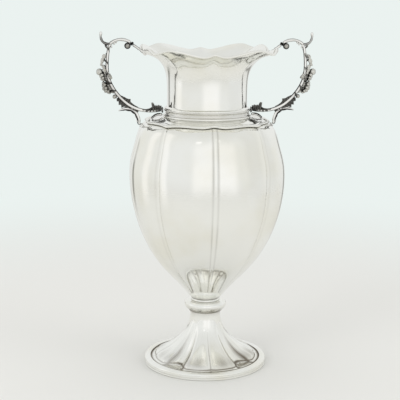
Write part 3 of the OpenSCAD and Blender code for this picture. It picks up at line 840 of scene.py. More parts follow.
@dataclass
class Foot:
    """The base ring and the petal foot that stands on its ledge."""

    base_r: float = 66.0
    base_h: float = 7.0
    base_t: float = 2.6
    top_w: float = 6.6
    round_r: float = 2.2
    ledge_w: float = 3.4
    ledge_t: float = 1.4
    step: float = 0.7
    foot_h: float = 51.4
    stem_r: float = 16.2
    # Crown radius and height shares, then crease radius and height shares
    petals: tuple[Row, ...] = (
        (1, 0, 1, 0), (0.955, 0, 0.88, 0), (0.915, 0, 0.77, 0), (0.895, 0.02, 0.725, 0.003),
        (0.865, 0.062, 0.69, 0.01), (0.82, 0.098, 0.64, 0.02), (0.76, 0.13, 0.585, 0.038),
        (0.585, 0.205, 0.455, 0.105), (0.395, 0.325, 0.305, 0.235), (0.235, 0.455, 0.18, 0.39),
        (0.105, 0.60, 0.08, 0.565), (0.025, 0.76, 0.015, 0.75), (0, 0.885, 0, 0.885),
        (0, 1, 0, 1))
    # The reach and rise in millimetres that the petals' curve is measured on
    petal_r: float = 43.0
    petal_h: float = 51.0
    # Depth of the creases on the axes, as a part of the diagonal gaps' depth
    axis_depth: float = 0.22

    @property
    def edge_z(self) -> float:
        """Height of the foot's flat edge."""
        return self.base_h - self.step

    @property
    def edge_r(self) -> float:
        """Radius of the foot's flat edge."""
        return self.base_r - self.top_w - SEAM

    @property
    def knop_z(self) -> float:
        """Height of the top of the foot."""
        return self.edge_z + self.foot_h

    def base_ring(self) -> Piece:
        """Turn the base ring, with a fine line below its rounded top."""
        r, h, t = self.base_r, self.base_h, self.base_t
        top = r - self.top_w
        ledge = self.edge_z - SHEET
        corners = [(r - t, 0), (r - 0.3, 0), (r - 0.05, 0.35), (r, 1.3), (r - 0.35, 1.55),
                   (r - 0.35, 1.85), (r - 0.1, 2.1), (r - 0.05, 3.9), (r - 0.3, 4.15),
                   (r - 0.3, 4.4), (r - 0.05, 4.7)]
        corners += [(r - self.round_r * (1 - math.cos(a)), h - self.round_r * (1 - math.sin(a)))
                    for a in map(math.radians, (5, 25, 45, 65, 90))]
        corners += [(r - 3.4, h), (r - 3.7, h - 0.35), (r - 4.1, h - 0.35), (r - 4.4, h),
                    (top + 0.3, h), (top, h - 0.25), (top, ledge), (top - self.ledge_w, ledge),
                    (top - self.ledge_w, ledge - self.ledge_t), (r - t, ledge - self.ledge_t)]
        piece = turned("base_ring", softened(corners, 0.35, 2), 224)
        # Painted shadow in the seam where the foot's edge sits on the ring's ledge.
        lay_tarnish_and_shade(piece, lambda radius, angle, height:
              1.1 * bump(radius, top, 0.7) * bump(height, ledge + 0.2, 1.2))
        return piece

    def foot_shell(self) -> Piece:
        """Raise the petal foot and its stem from sheet."""
        span_r, span_h = self.petal_r, self.petal_h
        profile = SmoothProfile([(p[0] * span_r, p[1] * span_h, p[2], p[3]) for p in self.petals])
        rows = []
        for r, z, crease_r, crease_z in profile.rows(72):
            row = []
            for angle in lobed_angles():
                share, depth = self.fall(angle)
                reach = min(1.0, mix(r / span_r, mix(r / span_r, crease_r, depth), share))
                rise = max(0.0, mix(z / span_h, mix(z / span_h, crease_z, depth), share))
                row.append(polar(mix(self.stem_r, self.edge_r, reach), angle,
                                 self.edge_z + self.foot_h * rise))
            rows.append(row)
        piece = loft("foot_shell", rows, (False, False))
        thicken(piece)
        lay_tarnish_and_shade(piece, self.tarnish_and_shade)
        return piece

    def fall(self, angle: float) -> tuple[float, float]:
        """Return how far a petal has fallen in a direction, and how deep it falls there.

        On an axis two petals meet in a fine shallow crease, and on a diagonal they part in a
        wide gap with a flat floor.
        """
        off = off_crown(angle)
        if near_axis(angle) > 0.5:
            return off**7, self.axis_depth
        gap = max(0.0, min(1.0, (off - 0.16) / 0.72))
        return gap * gap * (3 - 2 * gap), 1.0

    def tarnish_and_shade(self, radius: float, angle: float, height: float) -> float:
        """Return the foot's tarnish and painted shade: by its seams, along its creases and in the
        gaps' corners.
        """
        off = off_crown(angle)
        up = height - self.edge_z
        low = max(0.0, min(1.0, (30 - up) / 26))
        # Painted shadow along the petals' toes, in the seam under the knop and by the base ring.
        toes = 1.2 * bump(up, 1.2, 0.6)
        seams = max(0.4 * bump(height, self.knop_z, 3), 2.2 * bump(radius, self.edge_r, 1.6))
        ends = 0.5 * bump(up, 6, 4) * bump(off, 0.3, 0.35)
        if near_axis(angle) > 0.5:
            # Tarnish and painted shade along the fine crease on an axis.
            crease = 0.6 * bump(off, 1, 0.03) * (0.35 + 0.65 * low)
            return max(toes, seams, ends, crease)
        # Tarnish and painted shade where each gap begins and in its corners.
        rib = 0.4 * low * bump(off, 0.16, 0.04)
        corner = 1.6 * low * bump(off, 0.52, 0.07)
        return max(toes, seams, ends * (1 - off), rib, corner)

    def build(self, dresser: Dresser) -> None:
        """Build and dress the base ring and the foot."""
        dresser.dress(self.base_ring(), "base_ring", Finish.POLISHED, 50)
        dresser.dress(self.foot_shell(), "foot_shell", Finish.POLISHED, 60)


@dataclass
class Stem:
    """The knop on the foot and the bead under the body."""

    foot: Foot
    knop_r: float = 22.6
    knop_h: float = 11.6
    bore_r: float = 9.0
    bead_r: float = 15.6
    bead_h: float = 2.8
    knop_shares: tuple[Row, ...] = (
        (0.77, 0), (0.82, 0.12), (0.93, 0.34), (0.99, 0.55), (1, 0.68), (0.985, 0.82),
        (0.93, 0.93), (0.86, 1))

    @property
    def bead_z(self) -> float:
        """Height of the top of the knop."""
        return self.foot.knop_z + self.knop_h

    @property
    def body_z(self) -> float:
        """Height of the top of the bead."""
        return self.bead_z + self.bead_h

    def stem_knop(self) -> Piece:
        """Turn the knop."""
        profile = SmoothProfile([(r * self.knop_r, z * self.knop_h) for r, z in self.knop_shares])
        foot_z = self.foot.knop_z
        outside = [(r, foot_z + min(max(z, 0), self.knop_h)) for r, z in profile.rows(26)]
        corners = [(self.bore_r, foot_z), *outside, (self.bore_r, self.bead_z)]
        piece = turned("stem_knop", corners, 128)
        # Painted shadow round the knop's underside, where it meets the foot.
        lay_tarnish_and_shade(piece, lambda radius, angle, height: 0.9 * bump(height, foot_z + 1, 3))
        return piece

    def body_bead(self) -> Piece:
        """Turn the half-round bead."""
        half = self.bead_h / 2
        steps, outside = 14, []
        for k in range(steps + 1):
            a = mix(-math.pi / 2, math.pi / 2, k / steps)
            outside.append((self.bead_r - half + half * math.cos(a),
                            self.bead_z + half + half * math.sin(a)))
        corners = [(self.bore_r, self.bead_z), *outside, (self.bore_r, self.body_z)]
        return turned("body_bead", corners, 128)

    def build(self, dresser: Dresser) -> None:
        """Build and dress the knop and the bead."""
        dresser.dress(self.stem_knop(), "stem_knop", Finish.POLISHED, 35)
        dresser.dress(self.body_bead(), "body_bead", Finish.POLISHED, 35)


@dataclass
class Neck:
    """The stepped ring, the neck and the wire round its wavy rim."""

    ring_z: float
    neck_r: float = 42.0
    foot_w: float = 2.6
    ring_step_w: float = 1.4
    ring_h: float = 8.4
    neck_h: float = 57.0
    flat_w: float = 0.8
    corner_r: float = 82.0
    point_r: float = 61.0
    wave_h: float = 6.4
    reach_shares: tuple[float, ...] = (0, 0.17, 0.4, 0.62, 0.8, 1)
    height_shares: tuple[float, ...] = (0.36, 0, 0.3, 0.78, 1, 0.4)
    # Radius share, height share and share of the rim's shape, from the narrowest part up
    neck_shares: tuple[Row, ...] = (
        (0.005, 0.42, 0), (0.075, 0.66, 0.1), (0.28, 0.83, 0.33), (0.6, 0.94, 0.66), (1, 1, 1))

    @property
    def foot_r(self) -> float:
        """Radius of the neck's foot."""
        return self.neck_r + self.foot_w

    @property
    def ring_r(self) -> float:
        """Radius of the stepped ring."""
        return self.foot_r + self.ring_step_w

    @property
    def neck_z(self) -> float:
        """Height of the neck's foot."""
        return self.ring_z + self.ring_h

    @property
    def rim_z(self) -> float:
        """Height of the lowest point of the rim."""
        return self.neck_z + self.neck_h

    def rim_r(self, angle: float) -> float:
        """Return the rim's radius in a direction."""
        return mix(self.point_r, self.corner_r, wave(self.reach_shares, angle))

    def rim_height(self, angle: float) -> float:
        """Return the rim's height in a direction."""
        return self.rim_z + self.wave_h * wave(self.height_shares, angle)

    def neck_ring(self) -> Piece:
        """Turn the ring's steps: a bead, a hollow and a fine top bead."""
        r, z, h = self.ring_r, self.ring_z, self.ring_h
        corners = [(r - 0.35, z), (r, z + 0.5), (r, z + 1.9), (r - 0.35, z + 2.4),
                   (r - 0.9, z + 2.55), (r - 1.0, z + 2.9), (r - 1.65, z + 3.5),
                   (r - 1.8, z + 5.0), (r - 1.6, z + 6.3), (r - 0.95, z + 6.9),
                   (r - 0.75, z + 7.2), (r - 0.7, z + 8.0), (r - 1.1, z + h),
                   (self.neck_r - SHEET, z + h), (self.neck_r - SHEET, z)]
        piece = turned("neck_ring", softened(corners, 0.4, 3), 192)
        # A light tarnish all over, with painted shade in the hollow, in the steps by the beads and
        # at the top.
        lay_tarnish_and_shade(piece, lambda radius, angle, height: 0.08 + 0.25 * bump(height, z + 4.4, 1.2)
              + 0.6 * bump(height, z + 2.5, 0.3) + 0.6 * bump(height, z + 6.8, 0.3)
              + 0.35 * bump(height, z + h, 0.5))
        return piece

    def neck_shell(self) -> Piece:
        """Raise the neck, which flares from a round foot to a wavy rim."""
        flare = self.foot_r - self.flat_w - self.neck_r
        foot_z = self.neck_z + SHEET
        knots = [(self.foot_r, foot_z, 0.0)]
        for a in map(math.radians, (0, 30, 60, 85)):
            knots.append((self.neck_r + flare * (1 - math.sin(a)),
                          foot_z + flare * (1 - math.cos(a)), 0.0))
        upper = SmoothProfile([(self.neck_r, foot_z + flare, 0.0)] + [
            (mix(self.neck_r, self.point_r, r), mix(self.neck_z, self.rim_z, z), shape)
            for r, z, shape in self.neck_shares])
        angles = around(SHEET_COLUMNS)
        reach = [self.rim_r(a) - self.point_r for a in angles]
        rise = [self.rim_height(a) - self.rim_z for a in angles]
        rows = [[polar(r + s * reach[i], a, z + s * rise[i]) for i, a in enumerate(angles)]
                for r, z, s in [*knots, *upper.rows(56)]]
        piece = loft("neck_shell", rows, (False, False))
        thicken(piece)
        return piece

    def rim_wire(self) -> Piece:
        """Draw the wire that is soldered along the rim."""
        return edge_wire("rim_wire", [polar(self.rim_r(a) + WIRE + SEAM, a, self.rim_height(a))
                                      for a in around(WIRE_COLUMNS)])

    def build(self, dresser: Dresser) -> None:
        """Build and dress the ring, the neck and the rim's wire."""
        dresser.dress(self.neck_ring(), "neck_ring", Finish.POLISHED, 50)
        dresser.dress(self.neck_shell(), "neck_shell", Finish.POLISHED, 50)
        dresser.dress(self.rim_wire(), "rim_wire", Finish.WIRE, 60)


@dataclass
class Body:
    """The lobed body and the wavy plate that closes its shoulder."""

    body_z: float
    ring_r: float = 46.0
    neck_r: float = 42.0
    belly_r: float = 83.5
    foot_r: float = 15.0
    belly_h: float = 131.0
    upper_h: float = 64.0
    crease_depth: float = 0.045
    # How much of the crease's depth the lobes take up, and the channel's depth
    lobe_part: float = 0.93
    channel_depth: float = 0.015
    lip_w: float = 7.0
    flat_w: float = 2.0
    plate_w: float = 16.5
    mouth_lip_w: float = 2.8
    plate_drop: float = 4.4
    point_share: float = 0.08
    plate_wave: tuple[float, ...] = (0, 0.72, 0.6, 0.42, 0.5, 1)
    lower_shares: tuple[Row, ...] = (
        (0, 0, 0), (0.225, 0.135, 0.5), (0.525, 0.304, 0.85), (0.735, 0.471, 1),
        (0.875, 0.638, 1), (0.96, 0.802, 1), (1, 1, 1))
    upper_shares: tuple[Row, ...] = (
        (0.955, 0.29, 0.95), (0.735, 0.62, 0.85), (0.53, 0.86, 0.7), (0.34, 0.955, 0.5),
        (0, 1, 0))

    @property
    def belly_z(self) -> float:
        """Height of the widest part."""
        return self.body_z + self.belly_h

    @property
    def ring_z(self) -> float:
        """Height of the plate's flat, where the neck ring stands."""
        return self.belly_z + self.upper_h + SHEET

    @property
    def flat_r(self) -> float:
        """Radius of the plate's flat."""
        return self.ring_r + self.flat_w

    @property
    def plate_r(self) -> float:
        """Radius of the plate at its corners."""
        return self.flat_r + self.plate_w

    @property
    def point_r(self) -> float:
        """Radius of the plate at its small points."""
        return self.plate_r * (1 - self.point_share)

    def plate_top(self, radius: float) -> float:
        """Return the height of the plate's top at a radius."""
        return self.ring_z - self.plate_drop / self.plate_w * max(0.0, radius - self.flat_r)

    def plate_under(self, radius: float) -> float:
        """Return the height of the plate's underside at a radius."""
        return self.plate_top(radius) - SHEET * math.hypot(1, self.plate_drop / self.plate_w)

    def plate_edge(self, angle: float) -> float:
        """Return the radius of the plate's edge in a direction."""
        return mix(self.point_r, self.plate_r, wave(self.plate_wave, angle))

    def knots(self) -> list[Row]:
        """Return the body's knots: radius, height and crease share, from its foot up."""
        edge_z = self.plate_under(self.point_r) - SEAM
        lower = [(mix(self.foot_r, self.belly_r, r), mix(self.body_z, self.belly_z, z), c)
                 for r, z, c in self.lower_shares]
        upper = [(mix(self.point_r, self.belly_r, r), mix(self.belly_z, edge_z, z), c)
                 for r, z, c in self.upper_shares]
        return lower + upper

    def body_point(self, row: Row, angle: float) -> tuple[float, float, float]:
        """Return a point of the body's outside.

        Args:
            row: Radius over a crown, height and crease share.
            angle: The direction in radians.

        Returns:
            The point: a lobe, or the narrow channel between two lobes.
        """
        radius, height, crease = row
        off = off_crown(angle)
        lobe = min(off, 1 - CHANNEL)
        radius *= 1 - self.crease_depth * crease * (lobe / (1 - CHANNEL)) ** 2 * self.lobe_part
        if off > 1 - CHANNEL:
            across = (1 - off) / CHANNEL
            radius -= self.channel_depth * radius * crease * (1 - across**2)
        return polar(radius, angle, height)

    def tarnish_and_shade(self, radius: float, angle: float, height: float) -> float:
        """Return the body's tarnish and painted shade: a line along each side of a channel, and by
        its foot.
        """
        # Tarnish with a painted dark reflection along the channels, strongest on those facing
        # front and back; painted shade where the body meets the bead.
        strength = 0.1 + 0.28 * abs(math.sin(angle)) ** 12
        line = strength * bump(off_crown(angle), 1 - CHANNEL, 0.022)
        ends = min(1.0, max(0.0, (height - self.body_z - 2) / 20))
        return max(line * ends, 0.5 * bump(height, self.body_z, 2.5))

    def body_shell(self) -> Piece:
        """Raise the lobed body, closed below and open above."""
        lip_r = self.point_r - self.lip_w
        rows = list(SmoothProfile(self.knots()).rows(64))
        rows.append(np.array((lip_r, self.plate_under(lip_r) - SEAM, 0.0)))
        piece = loft("body_shell", [[self.body_point(row, angle) for angle in lobed_angles()]
                                    for row in rows], (True, False))
        thicken(piece)
        lay_tarnish_and_shade(piece, self.tarnish_and_shade)
        return piece

    def shoulder_plate(self) -> Piece:
        """Raise the plate, with a faint line inside its wavy edge."""
        angles = around(SHEET_COLUMNS)
        rows = []
        steps = 20
        for k in range(steps + 1):
            share, row = k / steps, []
            for a in angles:
                edge = self.plate_edge(a)
                r = mix(edge, self.flat_r, share)
                line = 0.3 * bump(share, 0.2, 0.07) - 0.2 * bump(share, 0.36, 0.06)
                row.append(polar(r, a, self.plate_top(r) + line))
            rows.append(row)
        mouth = self.neck_r - SHEET - self.mouth_lip_w
        rows += [[polar(mix(self.flat_r, mouth, s), a, self.ring_z) for a in angles]
                 for s in (0.2, 0.4, 0.6, 0.8, 1.0)]
        piece = loft("shoulder_plate", rows, (False, False))
        thicken(piece)
        return piece

    def shoulder_wire(self) -> Piece:
        """Draw the wire that is soldered along the plate's edge."""
        line = []
        for a in around(WIRE_COLUMNS):
            edge = self.plate_edge(a)
            line.append(polar(edge + WIRE + SEAM, a, self.plate_top(edge)))
        return edge_wire("shoulder_wire", line)

    def build(self, dresser: Dresser) -> None:
        """Build and dress the body, its plate and the plate's wire."""
        dresser.dress(self.body_shell(), "body_shell", Finish.POLISHED, 60)
        dresser.dress(self.shoulder_plate(), "shoulder_plate", Finish.POLISHED, 50)
        dresser.dress(self.shoulder_wire(), "shoulder_wire", Finish.WIRE, 60)


def painted_edge_shade(angle: float, share: float) -> float:
    """Return a rod's painted shade along its edges in the handle's plane; its faces stay bright.
    """
    strength, wiped = 1.6, 0.45
    return strength * max(0.0, abs(math.cos(angle)) - wiped) / (1 - wiped)


def outer_dark(angle: float, share: float) -> float:
    """Return a rod's darkening along its outer side; its inner side stays bright."""
    strength, wiped, fade = 1.9, 0.25, 0.4
    return strength * min(1.0, max(0.0, -wiped - math.cos(angle)) / fade)


@dataclass
class Handle:
    """One grapevine handle, built on the right and copied to the left."""

    body: Body
    neck: Neck
    reach_r: float = 104.0
    rise: float = 10.0
    scroll_r: float = 2.2
    pad_r: float = 3.2
    pad_t: float = 1.6
    crest_r: float = 1.5
    crest_h: float = 2.6
    volute_r: float = 3.3
    spur_w: float = 8.0
    spur_h: float = 10.5
    collar_r: float = 2.2
    collar_l: float = 2.4
    branch_r: float = 1.7
    # The branch from its tip down, measured from its foot, with its thickness
    branch_line: tuple[Row, ...] = (
        (21.1, 12.9, 0.3), (17.5, 14.6, 0.7), (12.3, 15.5, 0.95), (7.6, 14.7, 1), (3.1, 11.6, 1),
        (0.7, 7.0, 1), (-0.3, 3.4, 1), (0, 0, 1))
    elbow_t: float = 5.0
    vine_r: float = 1.0
    # Along the scroll's knots: where the vine starts and ends, where it first stands
    # outermost, and how far one turn takes it
    vine_span: tuple[float, float] = (0.6, 5.2)
    vine_peak: float = 1.6
    vine_turn: float = 0.9
    grape_r: float = 3.5
    leaf_l: float = 11.0
    leaf_t: float = 1.8
    # The last grape's place along the scroll's knots, and its size beside the others
    end_at: float = 5.0
    end_share: float = 0.6
    bracket_sag: float = 1.6
    slim: float = 0.78
    scroll_shares: tuple[Row, ...] = (
        (0.93, 1.015, 0.75), (0.975, 0.878, 0.8), (1, 0.662, 0.9), (0.981, 0.489, 0.95),
        (0.915, 0.35, 1), (0.814, 0.233, 1), (0.699, 0.138, 1), (0.566, 0.06, 1),
        (0.416, 0.009, 0.95), (0.257, -0.014, 0.85), (0.124, -0.014, 0.8), (0.035, 0, 0.85),
        (0, 0, 0.9))
    points: list = field(init=False)

    def __post_init__(self) -> None:
        """Lay out the scroll and the places that hang from it."""
        neck = self.neck
        self.scroll_end = Vector((neck.ring_r + self.pad_t + 2 * SEAM, 0,
                                  neck.ring_z + 0.86 * neck.ring_h))
        self.corner = Vector((self.reach_r - 0.07 * (self.reach_r - self.scroll_end.x), 0,
                              neck.rim_height(0) + self.rise))
        self.points = [(mix(self.scroll_end.x, self.reach_r, x), 0.0,
                        mix(self.scroll_end.z, self.corner.z, z), self.scroll_r * t)
                       for x, z, t in self.scroll_shares]
        self.rim_seat = Vector((neck.rim_r(0) + 2 * WIRE + 3 * SEAM, 0, neck.rim_height(0) - SEAM))
        self.collar_place = Vector((mix(self.rim_seat.x, self.corner.x, 0.4), 0,
                                    mix(self.rim_seat.z, self.corner.z, 0.8)))
        fall = math.radians(48)
        self.collar_dir = Vector((-math.cos(fall), 0, -math.sin(fall)))
        crest_start = self.corner - Vector((self.scroll_r + SEAM, 0, 0))
        crest_end = self.collar_place - self.collar_dir * (self.collar_l / 2 + SEAM)
        self.crest_points = []
        for share, height, thick in ((0.02, 0.1, 0.9), (0.17, 0.6, 0.85), (0.34, 0.93, 0.9),
                                     (0.5, 1, 1), (0.67, 0.88, 1), (0.84, 0.5, 1), (1, 0, 0.9)):
            p = crest_start.lerp(crest_end, share)
            self.crest_points.append((p.x, 0.0, p.z + self.crest_h * height, self.crest_r * thick))
        volute_x = crest_end.x + self.volute_r + 2 * SEAM
        self.volute_share = 6 * (volute_x - crest_start.x) / (crest_end.x - crest_start.x)
        knots = self.body.knots()
        row = curve_at(knots, 9.5)
        rise = curve_at(knots, 9.55) - curve_at(knots, 9.45)
        self.pad_out = unit(Vector((rise[1], 0, -rise[0])))
        crease_r = row[0] * (1 - self.body.crease_depth * row[2])
        self.pad_place = Vector((crease_r, 0, row[1])) + 3 * SEAM * self.pad_out
        self.vine_seat = self.scroll_r + 2 * SEAM + 2 * self.vine_r

    def beside(self, at: float, distance: float, sideways: float = 0.0) -> Vector:
        """Return a point beside the scroll.

        Args:
            at: The place along the scroll's knots.
            distance: Distance from its middle, positive outside the finger gap.
            sideways: Distance towards the back.

        Returns:
            The point in millimetres.
        """
        p = curve_at(self.points, at)
        step = curve_at(self.points, at + 0.05) - curve_at(self.points, at - 0.05)
        out = unit(Vector((-step[2], 0, step[0])))
        return Vector((p[0], sideways, p[2])) + distance * out

    def root_line(self, start: float, end: float, distance: float) -> Line:
        """Return a line along the scroll, at one distance from its middle."""
        return lambda share: self.beside(mix(start, end, share), distance)

    def edge_line(self, shares: Sequence[Row], scale: float) -> Line:
        """Return a leaf's jagged edge from rows of place and distance."""
        def line(share: float) -> Vector:
            """Return the edge's point at a share of its length."""
            place = share * (len(shares) - 1)
            i = min(int(place), len(shares) - 2)
            t = place - i
            return self.beside(mix(shares[i][0], shares[i + 1][0], t),
                               mix(shares[i][1], shares[i + 1][1], t) * scale)
        return line

    def scroll(self) -> Piece:
        """Cast the scroll, grooved on each flank, with painted shade on its edges and by the neck.
        """
        def section(angle: float, share: float) -> float:
            """Return the scroll's shape round its middle."""
            groove = bump(abs(math.sin(angle)), 1.0, 0.16)
            slim = mix(self.slim, 1.0, bump(share, 1, 0.05))
            return slim * (1 - 0.1 * groove + 0.05 * math.cos(2 * angle))
        return rod("scroll", curve(self.points, 130)[4:], 24, section,
                   lambda a, s: max(painted_edge_shade(a, s), 1.7 * bump(s, 1, 0.07)))

    def pad(self, name: str, place: Vector, out: Vector, radius: float) -> Piece:
        """Cast a round pad with a stepped edge.

        Args:
            name: The new piece's name.
            place: The middle of its seat.
            out: The direction in which it stands off the silver.
            radius: Its radius in millimetres.

        Returns:
            The new piece.
        """
        t = self.pad_t
        profile = [(0.05, 0), (0.9 * radius, 0), (radius, 0.15), (radius, 0.4 * t),
                   (0.93 * radius, 0.52 * t), (0.84 * radius, 0.58 * t), (0.8 * radius, 0.85 * t),
                   (0.72 * radius, t), (0.05, t)]
        return spindle(name, place, out, profile)

    def neck_pad(self) -> Piece:
        """Cast the pad on the neck ring, dark all over."""
        place = Vector((self.neck.ring_r + SEAM, 0, self.scroll_end.z))
        piece = self.pad("neck_pad", place, Vector((1, 0, 0)), self.pad_r)
        lay_tarnish_and_shade(piece, lambda radius, angle, height: 1.2)
        return piece

    def body_pad(self) -> Piece:
        """Cast the smaller pad on the body."""
        return self.pad("body_pad", self.pad_place, self.pad_out, self.pad_r * 0.8)

    def crest(self) -> Piece:
        """Cast the rod over the top, with barbs on its lower side."""
        knots = [(self.corner.x + 1.3, 0.0, self.corner.z - 2.6, 0.9 * self.crest_r),
                 *self.crest_points]
        main = rod("crest", curve(knots, 70), 20,
                   lambda a, s: 1 + 0.08 * math.cos(2 * a) + 0.12 * bump(s, 0.1, 0.05),
                   lambda a, s: 0.8 * painted_edge_shade(a, s) * (1 - 0.7 * s))
        # Each barb's place along the crest, its length and its lean
        barbs = []
        for at, length, lean in ((0.35, 4.2, -0.4), (1.25, 3.8, 0.05), (2.0, 2.4, 0.2)):
            x, _, z, r = curve_at(knots, at)
            barb = ((x, 0, z - 0.4 * r, 1.1),
                    (x + 0.35 * lean * length, 0, z - r - 0.5 * length, 0.9),
                    (x + lean * length, 0, z - r - 0.72 * length, 0.35))
            barbs.append(rod("barb", curve(barb, 10), 10))
            lay_tarnish_and_shade(barbs[-1], lambda radius, angle, height: 1.6)
        return join([main, *barbs], "crest")

    def spur(self) -> Piece:
        """Cast the spur, a tendril that stands up from a small bud."""
        start = self.corner + Vector((self.scroll_r + SEAM, 0, 0))
        knots = [(start.x + self.spur_w * x, 0, start.z + self.spur_h * z, self.crest_r * t)
                 for x, z, t in ((-0.32, -0.25, 0.8), (0, -0.23, 0.9), (0.3, -0.2, 0.85),
                                 (0.6, -0.09, 0.8), (0.86, 0.15, 0.78), (0.98, 0.5, 0.72),
                                 (0.96, 0.78, 1), (0.94, 0.97, 0.7))]
        return rod("spur", curve(knots, 50), 16,
                   lambda a, s: 1 + 0.22 * bump(s, 0.3, 0.05) + 0.2 * bump(s, 0.62, 0.05),
                   lambda a, s: 0.8 + 0.4 * painted_edge_shade(a, s) - 1.1 * bump(s, 0.95, 0.16))

    def volute(self) -> Piece:
        """Cast the volute, a ball with a spiral step on both its faces."""
        x, _, z, r = curve_at(self.crest_points, self.volute_share)
        radius = self.volute_r
        profile = []
        for k in range(33):
            a = mix(0.04, math.pi - 0.04, k / 32)
            face = abs(math.cos(a))
            step = 1 - 0.08 * bump(face, 0.8, 0.07) - 0.05 * bump(face, 0.0, 0.1)
            profile.append((radius * math.sin(a) * step, -radius * math.cos(a) * step))
        height = z - r - SEAM - radius
        piece = spindle("volute", (x, 0, height), (0.0, 1.0, 0.001), profile, 36)
        # A light tarnish, with painted shade and highlight: the ball darkens away from the middle
        # of each face, which stays bright.
        lay_tarnish_and_shade(piece, lambda reach, angle, rise:
              0.3 + 3 * max(0.0, math.hypot(reach - x, rise - height) / radius - 0.5))
        return piece

    def collar(self) -> Piece:
        """Turn the collar, a bead between two fine rings."""
        half, r = self.collar_l / 2, self.collar_r
        profile = [(0.05, -half), (0.78 * r, -half), (0.86 * r, -0.86 * half),
                   (0.86 * r, -0.62 * half), (0.74 * r, -0.5 * half), (0.92 * r, -0.34 * half),
                   (r, 0), (0.92 * r, 0.34 * half), (0.74 * r, 0.5 * half),
                   (0.86 * r, 0.62 * half), (0.86 * r, 0.86 * half), (0.78 * r, half),
                   (0.05, half)]
        piece = spindle("collar", self.collar_place, -self.collar_dir, profile)
        lay_tarnish_and_shade(piece, lambda radius, angle, height: 1.5)
        return piece

    def rim_bracket(self) -> Piece:
        """Cast the bracket from the collar down to the rim, with two small knobs."""
        start = self.collar_place + self.collar_dir * (self.collar_l / 2 + SEAM)
        knots = []
        for share, sag, thick in ((0, 0, 0.95), (0.3, 0.35, 0.8), (0.55, 0.75, 0.75),
                                  (0.78, 1, 0.9), (1, 0, 1)):
            p = start.lerp(self.rim_seat, share)
            knots.append((p.x, 0, p.z - self.bracket_sag * sag, self.crest_r * thick))
        return rod("rim_bracket", curve(knots, 48), 18,
                   lambda a, s: 1 + 0.3 * bump(s, 0.46, 0.05) + 0.24 * bump(s, 0.68, 0.05)
                   - 0.1 * bump(s, 0.57, 0.04),
                   lambda a, s: painted_edge_shade(a, s) * (1 - 0.4 * s))

    def branch(self) -> Piece:
        """Cast the branch that arches under the fork and runs down to the body."""
        end = self.pad_place + (self.pad_t + SEAM) * self.pad_out
        foot = end + 1.2 * self.branch_r * self.pad_out
        knots = [(foot.x + x, 0, foot.z + z, self.branch_r * thick)
                 for x, z, thick in self.branch_line]
        path = [*curve(knots, 90), np.array((end.x, 0, end.z, self.branch_r))]

        def section(angle: float, share: float) -> float:
            """Return the branch's shape, with a leafy flange along its outer side."""
            flange = max(0.0, -math.cos(angle)) ** 1.5 * (0.65 + 0.35 * abs(math.sin(15 * share)))
            return 0.86 + 0.95 * flange * math.sin(math.pi * min(1.0, share * 1.06)) ** 0.6
        main = rod("branch", path, 20, section, outer_dark)
        # Each curl's place along the branch and its length
        curls = []
        for at, length in ((5.4, 3.8), (6.4, 2.8)):
            x, _, z, r = curve_at(knots, at)
            curl = ((x, 0, z, 1.1), (x + 0.45 * length, 0, z - 0.2, 0.95),
                    (x + 0.85 * length, 0, z + 0.45 * length, 0.6),
                    (x + 0.8 * length, 0, z + 0.85 * length, 0.25))
            curls.append(rod("curl", curve(curl, 16), 10))
        return join([main, *curls], "branch")

    def elbow_leaf(self) -> Piece:
        """Cast the leaf in the fork, in three layers with jagged edges."""
        edge = self.scroll_r + SEAM
        places = (5.3, 5.5, 5.75, 5.9, 6.1, 6.3, 6.45, 7.0, 8.0)
        reaches = (edge + 0.3, 4.99, 3.74, 6.45, 4.58, 6.86, 4.37, 2.9, 2.9)
        layers = []
        for shift, lean, grow in ((0.0, -1.6, 1.1), (0.06, 1.6, 1.02), (0.12, 0.0, 0.9)):
            shares = [(at, max(edge + 0.3, grow * float(np.interp(at + shift, places, reaches))))
                      for at in np.linspace(5.3, 8, 85)]
            layers.append(relief("layer", self.root_line(5.3, 8, 1.2), self.edge_line(shares, 1.0),
                                 self.elbow_t * 0.6, 9, 84, lean))
        return join(layers, "elbow_leaf")

    def inner_leaf(self) -> Piece:
        """Cast the leaf on the finger side of the scroll."""
        shares = ((5.4, 1.05), (5.6, 1.3), (5.85, 1.65), (6.1, 1.8), (6.3, 2.15), (6.52, 2.75),
                  (6.6, 1.9), (6.85, 1.5), (7.3, 1.2), (7.8, 1.0))
        return relief("inner_leaf", self.root_line(5.4, 7.8, -1.2),
                      self.edge_line(shares, -self.scroll_r), self.leaf_t * 1.5, 7, 72)

    def neck_leaf(self) -> Piece:
        """Cast the leaf by the neck, whose first point curls up."""
        shares = ((8.3, 0.5), (8.8, 0.75), (9.2, 1.15), (9.5, 1.7), (9.72, 2.2), (9.68, 3.0),
                  (9.5, 3.9), (9.82, 4.0), (10.05, 2.9), (10.25, 2.2), (10.5, 2.7), (10.65, 2.1),
                  (11, 2.4), (11.3, 1.8), (11.6, 2.1), (11.85, 1.5))
        layers = [relief("layer", self.root_line(8.3, 11.85, 1.5),
                         self.edge_line(shares, -self.scroll_r), self.elbow_t * 0.9, 7, 90, lean)
                  for lean in (-1.3, 1.3)]
        return join(layers, "neck_leaf")

